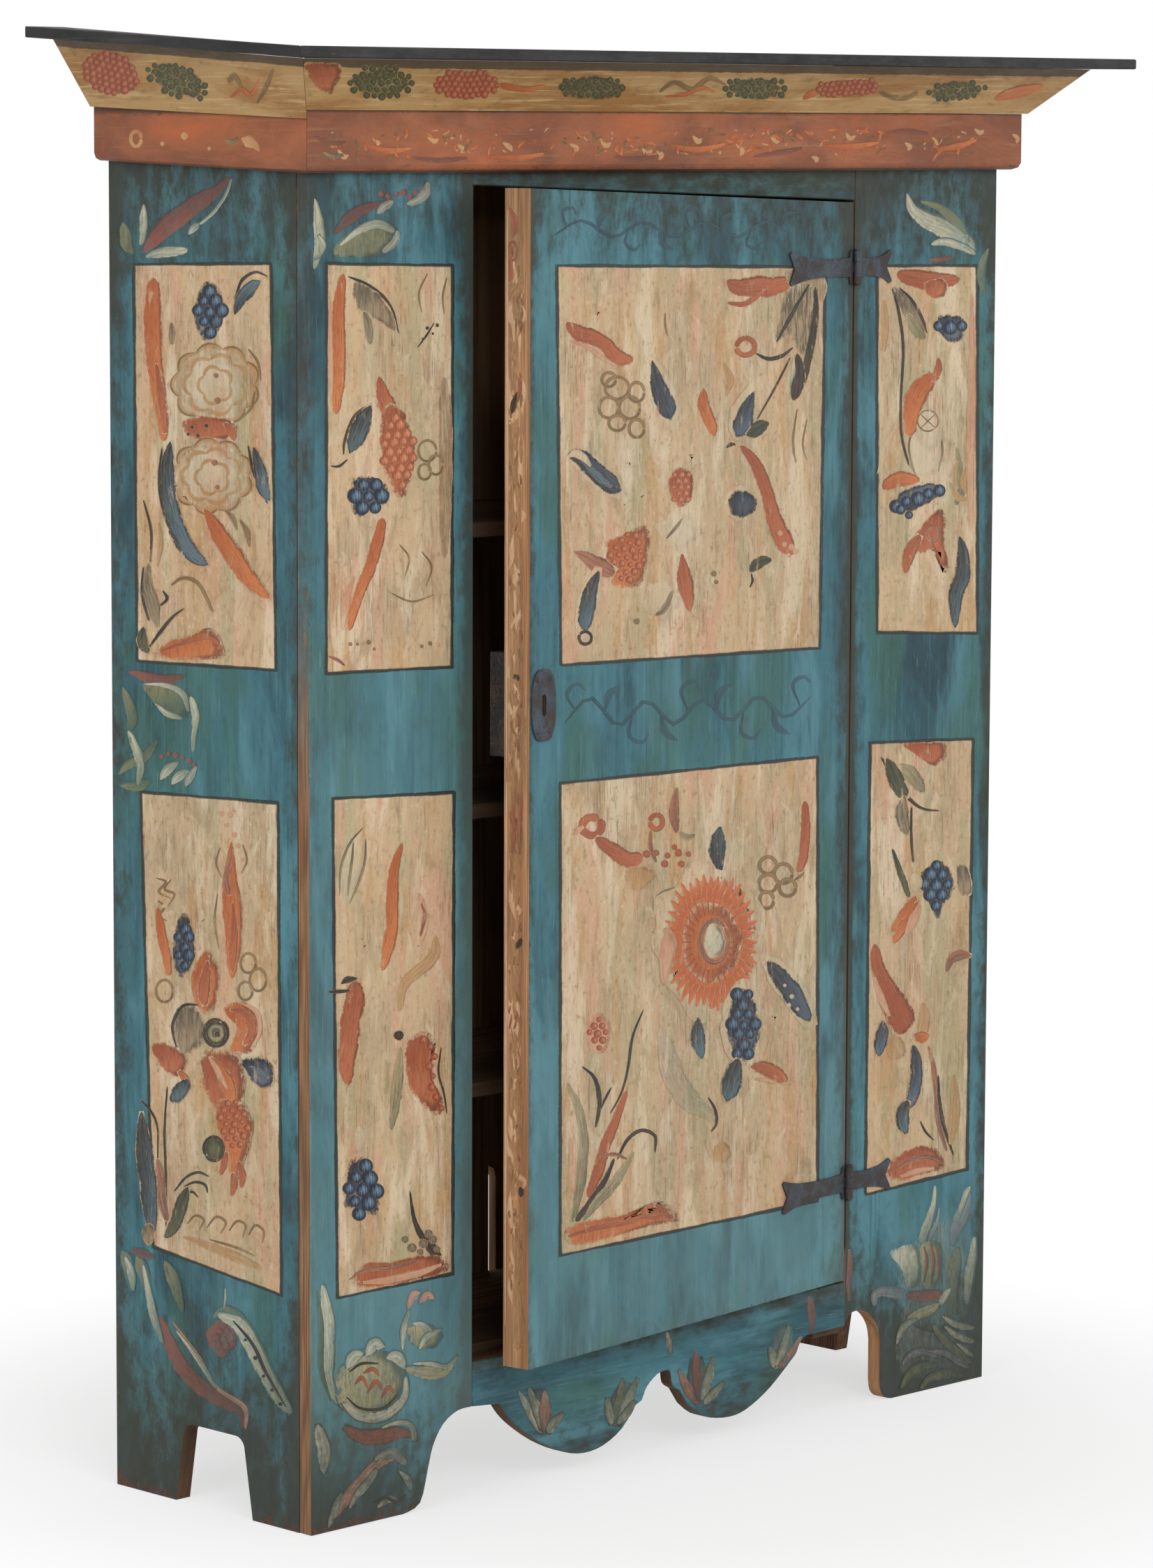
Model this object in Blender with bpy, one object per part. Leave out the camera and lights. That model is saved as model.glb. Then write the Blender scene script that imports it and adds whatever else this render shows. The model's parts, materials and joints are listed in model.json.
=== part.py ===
"""Painted pine cupboard with one door, built piece by piece.

Metres, +Z up. The front faces -Y. The origin is on the floor, under the middle
of the overall box, which the lid strips set. The door stands ajar at rest.
"""
import math

import bpy
import bmesh

# Case
case_width = 1.204
case_depth = 0.353
case_height = 1.669
side_thickness = 0.022
front_thickness = 0.021
back_thickness = 0.013
fit_gap = 0.0003
edge_wear = 0.0012

# Front boards
left_stile_width = 0.263
right_stile_width = 0.272
rail_height_at_lock = 0.0865
rail_height_at_hinge = 0.109
apron_top = 0.168
apron_join_height = 0.113
left_foot_scroll = 0.113
right_foot_arch = 0.068
right_foot_toe = 0.024

# Feet of the side boards, measured along the side at the floor
side_foot_front = 0.104
side_foot_back = 0.110
side_arch_height = 0.098
side_arch_lean = 0.014
side_arch_radius = 0.016

# Inside
shelf_thickness = 0.018
shelf_lower_top = 0.500
shelf_middle_top = 0.840
shelf_upper_top = 1.180
housing_depth = 0.008
bottom_top = 0.178
bottom_thickness = 0.020
bottom_rebate_height = 0.012
inner_top_drop = 0.019
inner_top_thickness = 0.018
shelf_setback = 0.001
rear_rebate = 0.010
joint_block_width = 0.055
joint_block_thickness = 0.022
left_block_low = 0.122
right_block_low = 0.096

# Back boards, from the left; the last one takes what is left of the width
back_width_1 = 0.262
back_width_2 = 0.178
back_width_3 = 0.1787
back_width_4 = 0.2863
back_low = 0.150
back_joint_gap = 0.0006
wane_width = 0.0126
wane_top = 0.3153

# Door
door_thickness = 0.038
door_hinge_clearance = 0.003
door_lock_clearance = 0.004
door_low_clearance = 0.003
door_top_clearance = 0.003
door_ajar_degrees = 7.5
pin_proud = 0.006
door_lock_board_width = 0.236
door_middle_board_width = 0.204

# Sliding dovetail battens on the inside of the door
batten_low_height = 0.300
batten_middle_height = 0.750
batten_top_drop = 0.130
batten_names = ("door_batten_bottom", "door_batten_middle", "door_batten_top")
batten_width_at_hinge = 0.062
batten_width_at_stop = 0.052
batten_depth = 0.012
batten_proud = 0.010
batten_undercut = 0.002
batten_stop = 0.042

# Lock
lock_height = 0.970
lock_case_width = 0.095
lock_case_tall = 0.124
lock_case_deep = 0.022
lock_wall = 0.002
lock_edge_inset = 0.001
lock_rib_from_edge = 0.055
bolt_length = 0.078
bolt_deep = 0.009
bolt_tall = 0.014
bolt_rise = 0.032
bolt_standoff = 0.006
bolt_notch_width = 0.008
bolt_notch_height = 0.005
keeper_width = 0.038
keeper_tall = 0.070
plate_width = 0.046
plate_tall = 0.086
plate_thickness = 0.002
keyhole_from_edge = 0.0255
keyhole_width = 0.008
keyhole_tall = 0.026

# Hinges
hinge_low_height = 0.300
hinge_top_drop = 0.0845
hinge_names = ("lower", "upper")
hinge_tall = 0.042
hinge_neck = 0.024
leaf_thickness = 0.0025
barrel_radius = 0.0052
pin_radius = 0.0025
pin_clearance = 0.0003
pin_head_radius = 0.0042
pin_head_height = 0.002
door_leaf_length = 0.142
stile_leaf_lengths = (0.084, 0.069)
leaf_fork = 0.010
knuckle_gap = 0.0004
tab_inset = 0.0005

# Frieze and cornice: reach is how far a piece stands out from the case
frieze_height = 0.0715
frieze_thickness = 0.022
frieze_chamfer = 0.009
cornice_foot_reach = 0.028
cornice_top_reach = 0.085
cornice_thickness = 0.014
cornice_height = 0.0575
cornice_rail_height = 0.045
cornice_rail_thickness = 0.018
mitre_gap = 0.0002
return_steps = 6

# Blocks glued behind the cornice, on the top edges of the case
block_length = 0.080
block_height = 0.036
block_seat = 0.020
block_clearance = 0.0008
front_block_places = (-0.36, 0.0, 0.36)
side_block_place = 0.45

# Lid: flat strips on the cornice, open in the middle
lid_overhang = 0.127
lid_width = 0.058
lid_thickness = 0.013

# How the runs climb to the back, and how the frieze joint dips at the front corner
frieze_rise = {"left": 0.012, "front": 0.0, "right": 0.0}
joint_drop = {"left": 0.010, "front": 0.0, "right": 0.0}
joint_lift = {"left": 0.0035, "front": 0.0, "right": 0.0}
lid_rise = {"left": 0.026, "front": 0.0, "right": 0.006}

# Places worked out from the sizes
left = -case_width / 2
right = case_width / 2
front = (lid_overhang - case_depth) / 2
back = front + case_depth
opening_left = left + left_stile_width
opening_right = right - right_stile_width
behind_front = front + front_thickness + fit_gap
inside_left = left + side_thickness
inside_right = right - side_thickness
before_back = back - back_thickness - fit_gap
rail_low_at_lock = case_height - rail_height_at_lock
rail_low_at_hinge = case_height - rail_height_at_hinge
inner_top_low = case_height - inner_top_drop - inner_top_thickness
batten_heights = (batten_low_height, batten_middle_height, rail_low_at_hinge - batten_top_drop)
hinge_heights = (hinge_low_height, rail_low_at_hinge - hinge_top_drop)
shelf_tops = (shelf_lower_top, shelf_middle_top, shelf_upper_top)
shelf_names = ("shelf_lower", "shelf_middle", "shelf_upper")
frieze_low = case_height - frieze_height
cornice_top = case_height + cornice_height
door_width = opening_right - opening_left - door_hinge_clearance - door_lock_clearance
door_low = apron_top + door_low_clearance
axis_x = opening_right - door_hinge_clearance / 2
axis_y = front - pin_proud
door_hinge_edge = -door_hinge_clearance / 2
door_lock_edge = door_hinge_edge - door_width
door_face = pin_proud
door_inner = door_face + door_thickness
shelf_front = front + door_thickness + shelf_setback

colours = {
    "blue_paint": ((0.062, 0.180, 0.235), 0.60, 0.0),
    "brick_paint": ((0.400, 0.115, 0.052), 0.62, 0.0),
    "cream_paint": ((0.610, 0.455, 0.262), 0.62, 0.0),
    "dark_paint": ((0.032, 0.035, 0.038), 0.66, 0.0),
    "bare_pine": ((0.270, 0.155, 0.080), 0.75, 0.0),
    "wrought_iron": ((0.030, 0.030, 0.034), 0.55, 0.9),
}


def clear_scene():
    for item in list(bpy.data.objects):
        bpy.data.objects.remove(item, do_unlink=True)


def make_material(name, finish):
    """Each piece has its own material, in one of the cupboard's finishes."""
    colour, roughness, metallic = colours[finish]
    material = bpy.data.materials.new(name + "_" + finish)
    material.use_nodes = True
    shader = material.node_tree.nodes["Principled BSDF"]
    shader.inputs["Base Color"].default_value = (*colour, 1.0)
    shader.inputs["Roughness"].default_value = roughness
    shader.inputs["Metallic"].default_value = metallic
    return material


def add_object(name, points, faces, finish, parent=None):
    """A mesh object whose faces are turned to point outwards."""
    mesh = bpy.data.meshes.new(name)
    mesh.from_pydata(points, [], faces)
    shape = bmesh.new()
    shape.from_mesh(mesh)
    bmesh.ops.recalc_face_normals(shape, faces=shape.faces)
    shape.to_mesh(mesh)
    shape.free()
    item = bpy.data.objects.new(name, mesh)
    bpy.context.scene.collection.objects.link(item)
    if finish:
        mesh.materials.append(make_material(name, finish))
    if parent:
        item.parent = parent
    return item


def prism(name, outline, along, low, high, finish, parent=None):
    """An outline carried along an axis: (y, z) along x, (x, z) along y, (x, y) along z."""
    place = {
        "x": lambda a, b, c: (c, a, b),
        "y": lambda a, b, c: (a, c, b),
        "z": lambda a, b, c: (a, b, c),
    }[along]
    count = len(outline)
    points = [place(a, b, low) for a, b in outline] + [place(a, b, high) for a, b in outline]
    faces = [tuple(range(count)), tuple(range(count, 2 * count))]
    for i in range(count):
        j = (i + 1) % count
        faces.append((i, j, count + j, count + i))
    return add_object(name, points, faces, finish, parent)


def rectangle(a0, b0, a1, b1):
    return [(a0, b0), (a1, b0), (a1, b1), (a0, b1)]


def box(name, low, high, finish, parent=None):
    outline = rectangle(low[0], low[1], high[0], high[1])
    return prism(name, outline, "z", low[2], high[2], finish, parent)


def loft(name, sections, finish, parent=None):
    """Closed body through matching outlines, each a list of (x, y, z) points."""
    count = len(sections[0])
    points = [point for section in sections for point in section]
    faces = [tuple(range(count)), tuple(range(len(points) - count, len(points)))]
    for step in range(len(sections) - 1):
        base = step * count
        for i in range(count):
            j = (i + 1) % count
            faces.append((base + i, base + j, base + count + j, base + count + i))
    return add_object(name, points, faces, finish, parent)


def hide_cutter(item):
    item.hide_render = True
    item.display_type = "WIRE"


def combine(item, other, operation):
    """A live Boolean with an object that is then hidden."""
    modifier = item.modifiers.new(operation.lower(), "BOOLEAN")
    modifier.operation = operation
    modifier.solver = "EXACT"
    modifier.object = other
    hide_cutter(other)


def soften(item, width=edge_wear):
    """The worn arris that a hand plane and long use leave."""
    modifier = item.modifiers.new("worn_edges", "BEVEL")
    modifier.width = width
    modifier.segments = 1
    modifier.limit_method = "ANGLE"
    modifier.angle_limit = math.radians(40)


def smooth_curve(points, steps):
    """Catmull-Rom curve through the points, as a list that starts and ends on them."""
    ends = [points[0]] + list(points) + [points[-1]]
    curve = []
    for k in range(1, len(ends) - 2):
        p0, p1, p2, p3 = ends[k - 1], ends[k], ends[k + 1], ends[k + 2]
        for step in range(steps):
            t = step / steps
            curve.append(tuple(
                0.5 * (2 * b + (c - a) * t + (2 * a - 5 * b + 4 * c - d) * t * t
                       + (3 * b - a - 3 * c + d) * t ** 3)
                for a, b, c, d in zip(p0, p1, p2, p3)))
    curve.append(tuple(points[-1]))
    return curve


def arc(centre, radius, start, end, steps):
    """Points on a circle, angles in degrees."""
    angles = [math.radians(start + (end - start) * i / steps) for i in range(steps + 1)]
    return [(centre[0] + radius * math.cos(a), centre[1] + radius * math.sin(a)) for a in angles]


# Case boards

def side_outline():
    """Side board from the side, as (y, z): two feet with a round-cornered arch between."""
    y0 = behind_front
    y1 = back
    low_a = front + side_foot_front
    low_b = back - side_foot_back
    top_a = low_a + side_arch_lean
    top_b = low_b - side_arch_lean
    r = side_arch_radius
    arch = [(low_b, 0.0)]
    arch += arc((top_b - r, side_arch_height - r), r, 0, 90, 5)
    arch += arc((top_a + r, side_arch_height - r), r, 90, 180, 5)
    arch += [(low_a, 0.0)]
    return [(y0, 0.0), (y0, case_height), (y1, case_height), (y1, 0.0)] + arch


def housing_levels():
    """Undersides and thicknesses of what is housed in the side boards."""
    levels = [(top - shelf_thickness, shelf_thickness) for top in shelf_tops]
    levels.append((bottom_top - bottom_thickness, bottom_thickness))
    levels.append((inner_top_low, inner_top_thickness))
    return levels


def make_side(name, outer, inner):
    """A side board with housings for the shelves and a rebate for the back boards."""
    item = prism(name, side_outline(), "x", outer, inner, "blue_paint")
    inward = 1 if inner > outer else -1
    deep = inner - inward * housing_depth
    clear = inner + inward * 0.01
    past = 0.01
    for k, (low, thick) in enumerate(housing_levels()):
        y_front = behind_front - past if low < apron_top or low > rail_low_at_lock else shelf_front
        cutter = box(f"{name}_housing_{k}",
                     (min(deep, clear), y_front - fit_gap, low - fit_gap),
                     (max(deep, clear), back + past, low + thick + fit_gap), None)
        combine(item, cutter, "DIFFERENCE")
    rebate_x = inner - inward * rear_rebate
    cutter = box(f"{name}_rebate",
                 (min(rebate_x, clear), before_back, back_low - fit_gap),
                 (max(rebate_x, clear), back + past, case_height + past), None)
    combine(item, cutter, "DIFFERENCE")
    return item


def left_stile_outline():
    """Left front board as (x, z), with a scrolled foot measured from its inner edge."""
    edge = opening_left
    w = left_foot_scroll
    h = apron_join_height
    scroll = [(edge - w, 0.0), (edge - w * 0.76, h * 0.08), (edge - w * 0.65, h * 0.41),
              (edge - w * 0.57, h * 0.67), (edge - w * 0.42, h * 0.88), (edge - w * 0.21, h * 0.99),
              (edge, h)]
    return [(left, 0.0)] + smooth_curve(scroll, 3) + [(edge, case_height), (left, case_height)]


def right_stile_outline():
    """Right front board as (x, z): a small arch, then an upright foot with a toe."""
    edge = opening_right
    w = right_foot_arch
    h = apron_join_height
    toe_top = right_foot_toe * 1.15
    arch = [(edge, h - 0.003), (edge + w * 0.06, h * 1.06), (edge + w * 0.22, h * 1.12),
            (edge + w * 0.50, h * 1.11), (edge + w * 0.76, h * 1.02), (edge + w * 0.94, h * 0.87),
            (edge + w, h * 0.71)]
    toe = [(edge + w, toe_top), (edge + w + right_foot_toe * 0.12, toe_top * 0.43),
           (edge + w + right_foot_toe * 0.5, toe_top * 0.11), (edge + w + right_foot_toe, 0.0)]
    return (smooth_curve(arch, 3) + smooth_curve(toe, 3)
            + [(right, 0.0), (right, case_height), (edge, case_height)])


def apron_outline():
    """Scalloped lower board as (x, z): two lobes and a centre peak, between the stiles."""
    a = opening_left + fit_gap
    b = opening_right - fit_gap
    middle = (opening_left + opening_right) / 2
    left_lobe = [(middle - 0.288, 0.109), (middle - 0.275, 0.092), (middle - 0.255, 0.074),
                 (middle - 0.218, 0.049), (middle - 0.177, 0.030), (middle - 0.142, 0.023),
                 (middle - 0.108, 0.027), (middle - 0.075, 0.043), (middle - 0.052, 0.068)]
    left_step = [(middle - 0.040, 0.073), (middle - 0.031, 0.089), (middle - 0.012, 0.102),
                 (middle, 0.104)]
    right_step = [(middle, 0.104), (middle + 0.010, 0.102), (middle + 0.014, 0.084),
                  (middle + 0.027, 0.075)]
    right_lobe = [(middle + 0.042, 0.054), (middle + 0.065, 0.037), (middle + 0.095, 0.028),
                  (middle + 0.130, 0.026), (middle + 0.160, 0.034), (middle + 0.195, 0.052),
                  (middle + 0.230, 0.078), (middle + 0.243, 0.089), (middle + 0.250, 0.102),
                  (middle + 0.262, 0.109)]
    lower = [(a, apron_join_height)]
    lower += smooth_curve(left_lobe, 3)
    lower += smooth_curve(left_step, 3)
    lower += smooth_curve(right_step, 3)[1:]
    lower += smooth_curve(right_lobe, 3)
    lower += [(b, apron_join_height - 0.003)]
    return lower + [(b, apron_top), (a, apron_top)]


def make_front_boards():
    back_of_front = front + front_thickness
    rail = [(opening_left + fit_gap, rail_low_at_lock), (opening_right - fit_gap, rail_low_at_hinge),
            (opening_right - fit_gap, case_height), (opening_left + fit_gap, case_height)]
    boards = {
        "front_stile_left": left_stile_outline(),
        "front_stile_right": right_stile_outline(),
        "front_apron": apron_outline(),
        "front_rail": rail,
    }
    for name, outline in boards.items():
        soften(prism(name, outline, "y", front, back_of_front, "blue_paint"))


def make_shelves():
    """Three plain shelves that also stop the door."""
    x0 = inside_left - housing_depth + fit_gap
    x1 = inside_right + housing_depth - fit_gap
    for name, top in zip(shelf_names, shelf_tops):
        item = box(name, (x0, shelf_front, top - shelf_thickness), (x1, before_back, top), "bare_pine")
        soften(item)
    low = bottom_top - bottom_thickness
    step_y = shelf_front
    step_z = bottom_top - bottom_rebate_height
    outline = [(behind_front, low), (before_back, low), (before_back, bottom_top),
               (step_y, bottom_top), (step_y, step_z), (behind_front, step_z)]
    prism("case_bottom", outline, "x", x0, x1, "bare_pine")
    box("case_top", (x0, behind_front, inner_top_low),
        (x1, before_back, inner_top_low + inner_top_thickness), "bare_pine")


def make_back_boards():
    """Upright boards in the rebates. One has lost a strip of its edge near the bottom."""
    x0 = inside_left - rear_rebate + fit_gap
    x1 = inside_right + rear_rebate - fit_gap
    edges = [left, left + back_width_1]
    for width in (back_width_2, back_width_3, back_width_4):
        edges.append(edges[-1] + width)
    edges = [x0] + edges[1:] + [x1]
    half = back_joint_gap / 2
    for k in range(len(edges) - 1):
        a = edges[k] + (half if k else 0.0)
        b = edges[k + 1] - (half if k < len(edges) - 2 else 0.0)
        outline = rectangle(a, back_low, b, case_height)
        if k == 3:
            outline = [(a + wane_width, back_low), (b, back_low), (b, case_height), (a, case_height),
                       (a, wane_top), (a + wane_width * 0.7, wane_top - 0.004),
                       (a + wane_width, wane_top - 0.016)]
        prism(f"back_board_{k + 1}", outline, "y", back - back_thickness, back, "bare_pine")


def make_joint_blocks():
    """Blocks glued behind the joints between the apron and the stiles, under the bottom."""
    top = bottom_top - bottom_thickness - fit_gap
    places = (("joint_block_left", opening_left, left_block_low),
              ("joint_block_right", opening_right - 0.012, right_block_low))
    for name, x, low in places:
        item = box(name, (x - joint_block_width / 2, behind_front, low),
                   (x + joint_block_width / 2, behind_front + joint_block_thickness, top), "bare_pine")
        soften(item)


def make_carcass():
    make_side("side_board_left", left, inside_left)
    make_side("side_board_right", right, inside_right)
    make_front_boards()
    make_shelves()
    make_back_boards()
    make_joint_blocks()


# Frieze, cornice and lid strips
#
# A run is the piece on one side of the case: "left", "front" or "right". Each corner of
# its section is (reach, z at the front corner, z at the back), where reach is how far the
# corner stands out from the case. The returns of this old cupboard climb to the back.

def frieze_corners(run):
    outer = fit_gap + frieze_thickness
    low_back = frieze_low + frieze_rise[run]
    joint_front = case_height - joint_drop[run]
    joint_back = case_height + joint_lift[run]
    cut = frieze_chamfer
    return [(fit_gap, frieze_low, low_back), (outer - cut, frieze_low, low_back),
            (outer - cut * 0.3, frieze_low + cut * 0.3, low_back + cut * 0.3),
            (outer, frieze_low + cut, low_back + cut),
            (outer, joint_front, joint_back), (fit_gap, joint_front, joint_back)]


def cornice_corners(run):
    wide = cornice_foot_width()
    foot_front = case_height - joint_drop[run] + fit_gap
    foot_back = case_height + joint_lift[run] + fit_gap
    top_back = cornice_top + lid_rise[run]
    return [(cornice_foot_reach - wide, foot_front, foot_back),
            (cornice_foot_reach, foot_front, foot_back),
            (cornice_top_reach, cornice_top, top_back),
            (cornice_top_reach - wide, cornice_top, top_back)]


def lid_corners(run):
    under_front = cornice_top + fit_gap
    under_back = under_front + lid_rise[run]
    top_front = under_front + lid_thickness
    top_back = under_back + lid_thickness
    inner = lid_overhang - lid_width
    return [(inner, under_front, under_back), (lid_overhang, under_front, under_back),
            (lid_overhang, top_front, top_back), (inner, top_front, top_back)]


def cornice_foot_width():
    """Level width of the leaning cornice board, whose own thickness is measured square to it."""
    rise = cornice_top - case_height
    lean = cornice_top_reach - cornice_foot_reach
    return cornice_thickness * math.hypot(rise, lean) / rise


def make_run(name, corners, run, finish):
    """A moulding along one side of the case, mitred where it meets its neighbour."""
    steps = 1 if run == "front" else return_steps
    out = -1 if run == "left" else 1
    sections = []
    for k in range(steps + 1):
        t = k / steps
        section = []
        for reach, z_front, z_back in corners:
            if run == "front":
                x = (2 * t - 1) * (case_width / 2 + reach - mitre_gap)
                section.append((x, front - reach, z_front))
            else:
                start = front - reach + mitre_gap
                section.append((out * (case_width / 2 + reach), start + t * (back - start),
                                z_front + t * (z_back - z_front)))
        sections.append(section)
    return loft(name, sections, finish)


def edge_height(corner, run, y):
    """Height of one long edge of a run at a place along it."""
    reach, z_front, z_back = corner
    if run == "front":
        return z_front
    return z_front + (y - front + reach) / (case_depth + reach) * (z_back - z_front)


def cornice_inner_reach(run, y, z):
    """How far out the leaning board's inner face is, at a height and a place along it."""
    foot, _, _, top = cornice_corners(run)
    foot_z = edge_height(foot, run, y)
    top_z = edge_height(top, run, y)
    return foot[0] + (z - foot_z) / (top_z - foot_z) * (top[0] - foot[0])


def make_cornice_block(name, run, middle):
    """A block seated on the case's top edge that backs the leaning board."""
    foot = case_height + fit_gap
    top = foot + block_height
    out = -1 if run == "left" else 1
    sections = []
    for place in (middle - block_length / 2, middle + block_length / 2):
        section = []
        for outer, z in ((False, foot), (True, foot), (True, top), (False, top)):
            reach = cornice_inner_reach(run, place, z) - block_clearance if outer else -block_seat
            if run == "front":
                section.append((place, front - reach, z))
            else:
                section.append((out * (case_width / 2 + reach), place, z))
        sections.append(section)
    soften(loft(name, sections, "bare_pine"))


def rail_end(run, y, foot, top):
    """One end of the rail as (x, z), stepped over the frieze where that stands higher."""
    out = -1 if run == "left" else 1
    step = case_height + joint_lift[run] + fit_gap
    end = [(out * case_width / 2, foot)] if joint_lift[run] > 0 else []
    reach = cornice_inner_reach(run, y, step) - block_clearance
    end += [(out * case_width / 2, step)] if joint_lift[run] > 0 else []
    end.append((out * (case_width / 2 + reach), step))
    reach = cornice_inner_reach(run, y, top) - block_clearance
    end.append((out * (case_width / 2 + reach), top))
    return end


def make_cornice_rail():
    """The low rail that ties the two returns behind."""
    foot = case_height + fit_gap
    top = foot + cornice_rail_height
    y0 = back - cornice_rail_thickness
    outline = rail_end("left", y0, foot, top) + rail_end("right", y0, foot, top)[::-1]
    prism("cornice_rail_back", outline, "y", y0, back, "bare_pine")


def make_cornice():
    for run in ("left", "front", "right"):
        make_run(f"frieze_{run}", frieze_corners(run), run, "brick_paint")
        make_run(f"cornice_{run}", cornice_corners(run), run, "cream_paint")
        soften(make_run(f"lid_{run}", lid_corners(run), run, "dark_paint"))
    for k, share in enumerate(front_block_places):
        make_cornice_block(f"cornice_block_front_{k + 1}", "front", share * case_width)
    make_cornice_block("cornice_block_left", "left", front + side_block_place * case_depth)
    make_cornice_block("cornice_block_right", "right", front + side_block_place * case_depth)
    make_cornice_rail()


# Door, in the hinge axis's own frame: closed, the door lies along -x from the axis

def make_door_axis():
    axis = bpy.data.objects.new("door_axis", None)
    axis.location = (axis_x, axis_y, 0.0)
    axis.rotation_euler = (0.0, 0.0, math.radians(door_ajar_degrees))
    bpy.context.scene.collection.objects.link(axis)
    return axis


def door_top_at(x):
    """The door's sloping top edge follows the rail, door_top_clearance below it."""
    share = (x - door_lock_edge) / door_width
    rail = rail_low_at_lock + share * (rail_low_at_hinge - rail_low_at_lock)
    return rail - door_top_clearance


def batten_section(x, height, grow):
    """Dovetail section of a batten as (y, z), tapering from the hinge side to its stop."""
    share = (door_hinge_edge - x) / (door_width - batten_stop)
    half = (batten_width_at_hinge + share * (batten_width_at_stop - batten_width_at_hinge)) / 2 + grow
    deep = door_inner - batten_depth - grow
    out = door_inner + batten_proud
    wide = half + batten_undercut
    return [(deep, height - wide), (door_inner, height - half), (out, height - half),
            (out, height + half), (door_inner, height + half), (deep, height + wide)]


def batten_body(name, height, grow, x0, x1, finish, axis):
    sections = []
    for x in (x0, x1):
        sections.append([(x, y, z) for y, z in batten_section(x, height, grow)])
    return loft(name, sections, finish, axis)


def make_door_boards(axis):
    """Three boards side by side, grooved behind for the battens."""
    lock_joint = door_lock_edge + door_lock_board_width
    middle_joint = lock_joint + door_middle_board_width
    half = fit_gap / 2
    boards = (("door_board_lock", door_lock_edge, lock_joint - half),
              ("door_board_middle", lock_joint + half, middle_joint - half),
              ("door_board_hinge", middle_joint + half, door_hinge_edge))
    stop = door_hinge_edge - door_width + batten_stop - fit_gap
    for name, a, b in boards:
        outline = [(a, door_low), (b, door_low), (b, door_top_at(b)), (a, door_top_at(a))]
        board = prism(name, outline, "y", door_face, door_inner, "blue_paint", axis)
        for k, height in enumerate(batten_heights):
            groove = batten_body(f"{name}_groove_{k}", height, fit_gap, stop, door_hinge_edge + 0.01,
                                 None, axis)
            combine(board, groove, "DIFFERENCE")
        if name == "door_board_lock":
            combine(board, keyhole_cutter(name, axis), "DIFFERENCE")


def make_battens(axis):
    stop = door_hinge_edge - door_width + batten_stop
    for name, height in zip(batten_names, batten_heights):
        batten_body(name, height, 0.0, stop, door_hinge_edge, "bare_pine", axis)


# Lock

def keyhole_x():
    return door_lock_edge + keyhole_from_edge


def keyhole_cutter(owner, axis):
    """A slot with round ends, through the plate and the board."""
    r = keyhole_width / 2
    reach = keyhole_tall / 2 - r
    outline = arc((keyhole_x(), lock_height + reach), r, 0, 180, 6)
    outline += arc((keyhole_x(), lock_height - reach), r, 180, 360, 6)
    return prism(f"{owner}_keyhole", outline, "y", door_face - 0.01, door_inner + 0.002, None, axis)


def make_key_plate(axis):
    """Iron plate round the keyhole: straight-sided with rounded, slightly pointed ends."""
    x = keyhole_x()
    a = plate_width / 2
    b = plate_tall / 2
    outline = []
    for k in range(28):
        angle = 2 * math.pi * k / 28
        c, s = math.cos(angle), math.sin(angle)
        outline.append((x + a * math.copysign(abs(c) ** 0.55, c),
                        lock_height + b * math.copysign(abs(s) ** 0.9, s)))
    near = door_face - fit_gap
    plate = prism("key_plate", outline, "y", near - plate_thickness, near, "wrought_iron", axis)
    combine(plate, keyhole_cutter("key_plate", axis), "DIFFERENCE")


def bolt_box(grow, shift):
    """Corners of the bolt bar: grow is clearance all round, shift moves it along."""
    x1 = door_lock_edge + lock_edge_inset + bolt_length + shift
    x0 = door_lock_edge + lock_edge_inset + shift
    y0 = door_inner + bolt_standoff
    z0 = lock_height + bolt_rise - bolt_tall / 2
    return ((x0 - grow, y0 - grow, z0 - grow), (x1 + grow, y0 + bolt_deep + grow, z0 + bolt_tall + grow))


def make_lock(axis):
    """Box lock on the inside of the door: a case open towards the board, and its bolt."""
    x0 = door_lock_edge + lock_edge_inset
    x1 = x0 + lock_case_width
    y0 = door_inner + fit_gap
    y1 = y0 + lock_case_deep
    z0 = lock_height - lock_case_tall / 2
    z1 = lock_height + lock_case_tall / 2
    case = box("lock_case", (x0, y0, z0), (x1, y1, z1), "wrought_iron", axis)
    rib = x0 + lock_rib_from_edge
    rooms = ((x0 + lock_wall, rib), (rib + lock_wall, x1 - lock_wall))
    for k, (a, b) in enumerate(rooms):
        hollow = box(f"lock_case_room_{k}", (a, y0 - 0.01, z0 + lock_wall),
                     (b, y1 - lock_wall, z1 - lock_wall), None, axis)
        combine(case, hollow, "DIFFERENCE")
    low, high = bolt_box(fit_gap, 0.0)
    channel = box("lock_case_channel", (low[0] - 0.01, low[1], low[2]),
                  (x0 + bolt_length + 0.004, high[1], high[2]), None, axis)
    combine(case, channel, "DIFFERENCE")
    low, high = bolt_box(0.0, 0.0005)
    notch = rib - bolt_notch_width * 2.5
    outline = [(low[0], low[2]), (notch, low[2]), (notch, low[2] + bolt_notch_height),
               (notch + bolt_notch_width, low[2] + bolt_notch_height),
               (notch + bolt_notch_width, low[2]), (high[0], low[2]), (high[0], high[2]),
               (low[0], high[2])]
    prism("lock_bolt", outline, "y", low[1], high[1], "wrought_iron", axis)


def make_keeper():
    """A block behind the left stile that the thrown bolt passes behind."""
    x1 = opening_left - fit_gap
    z = lock_height + bolt_rise
    deep = front + door_thickness + bolt_standoff - 2 * fit_gap
    item = box("lock_keeper", (x1 - keeper_width, behind_front, z - keeper_tall / 2),
               (x1, deep, z + keeper_tall / 2), "bare_pine")
    soften(item)


# Hinges

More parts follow.
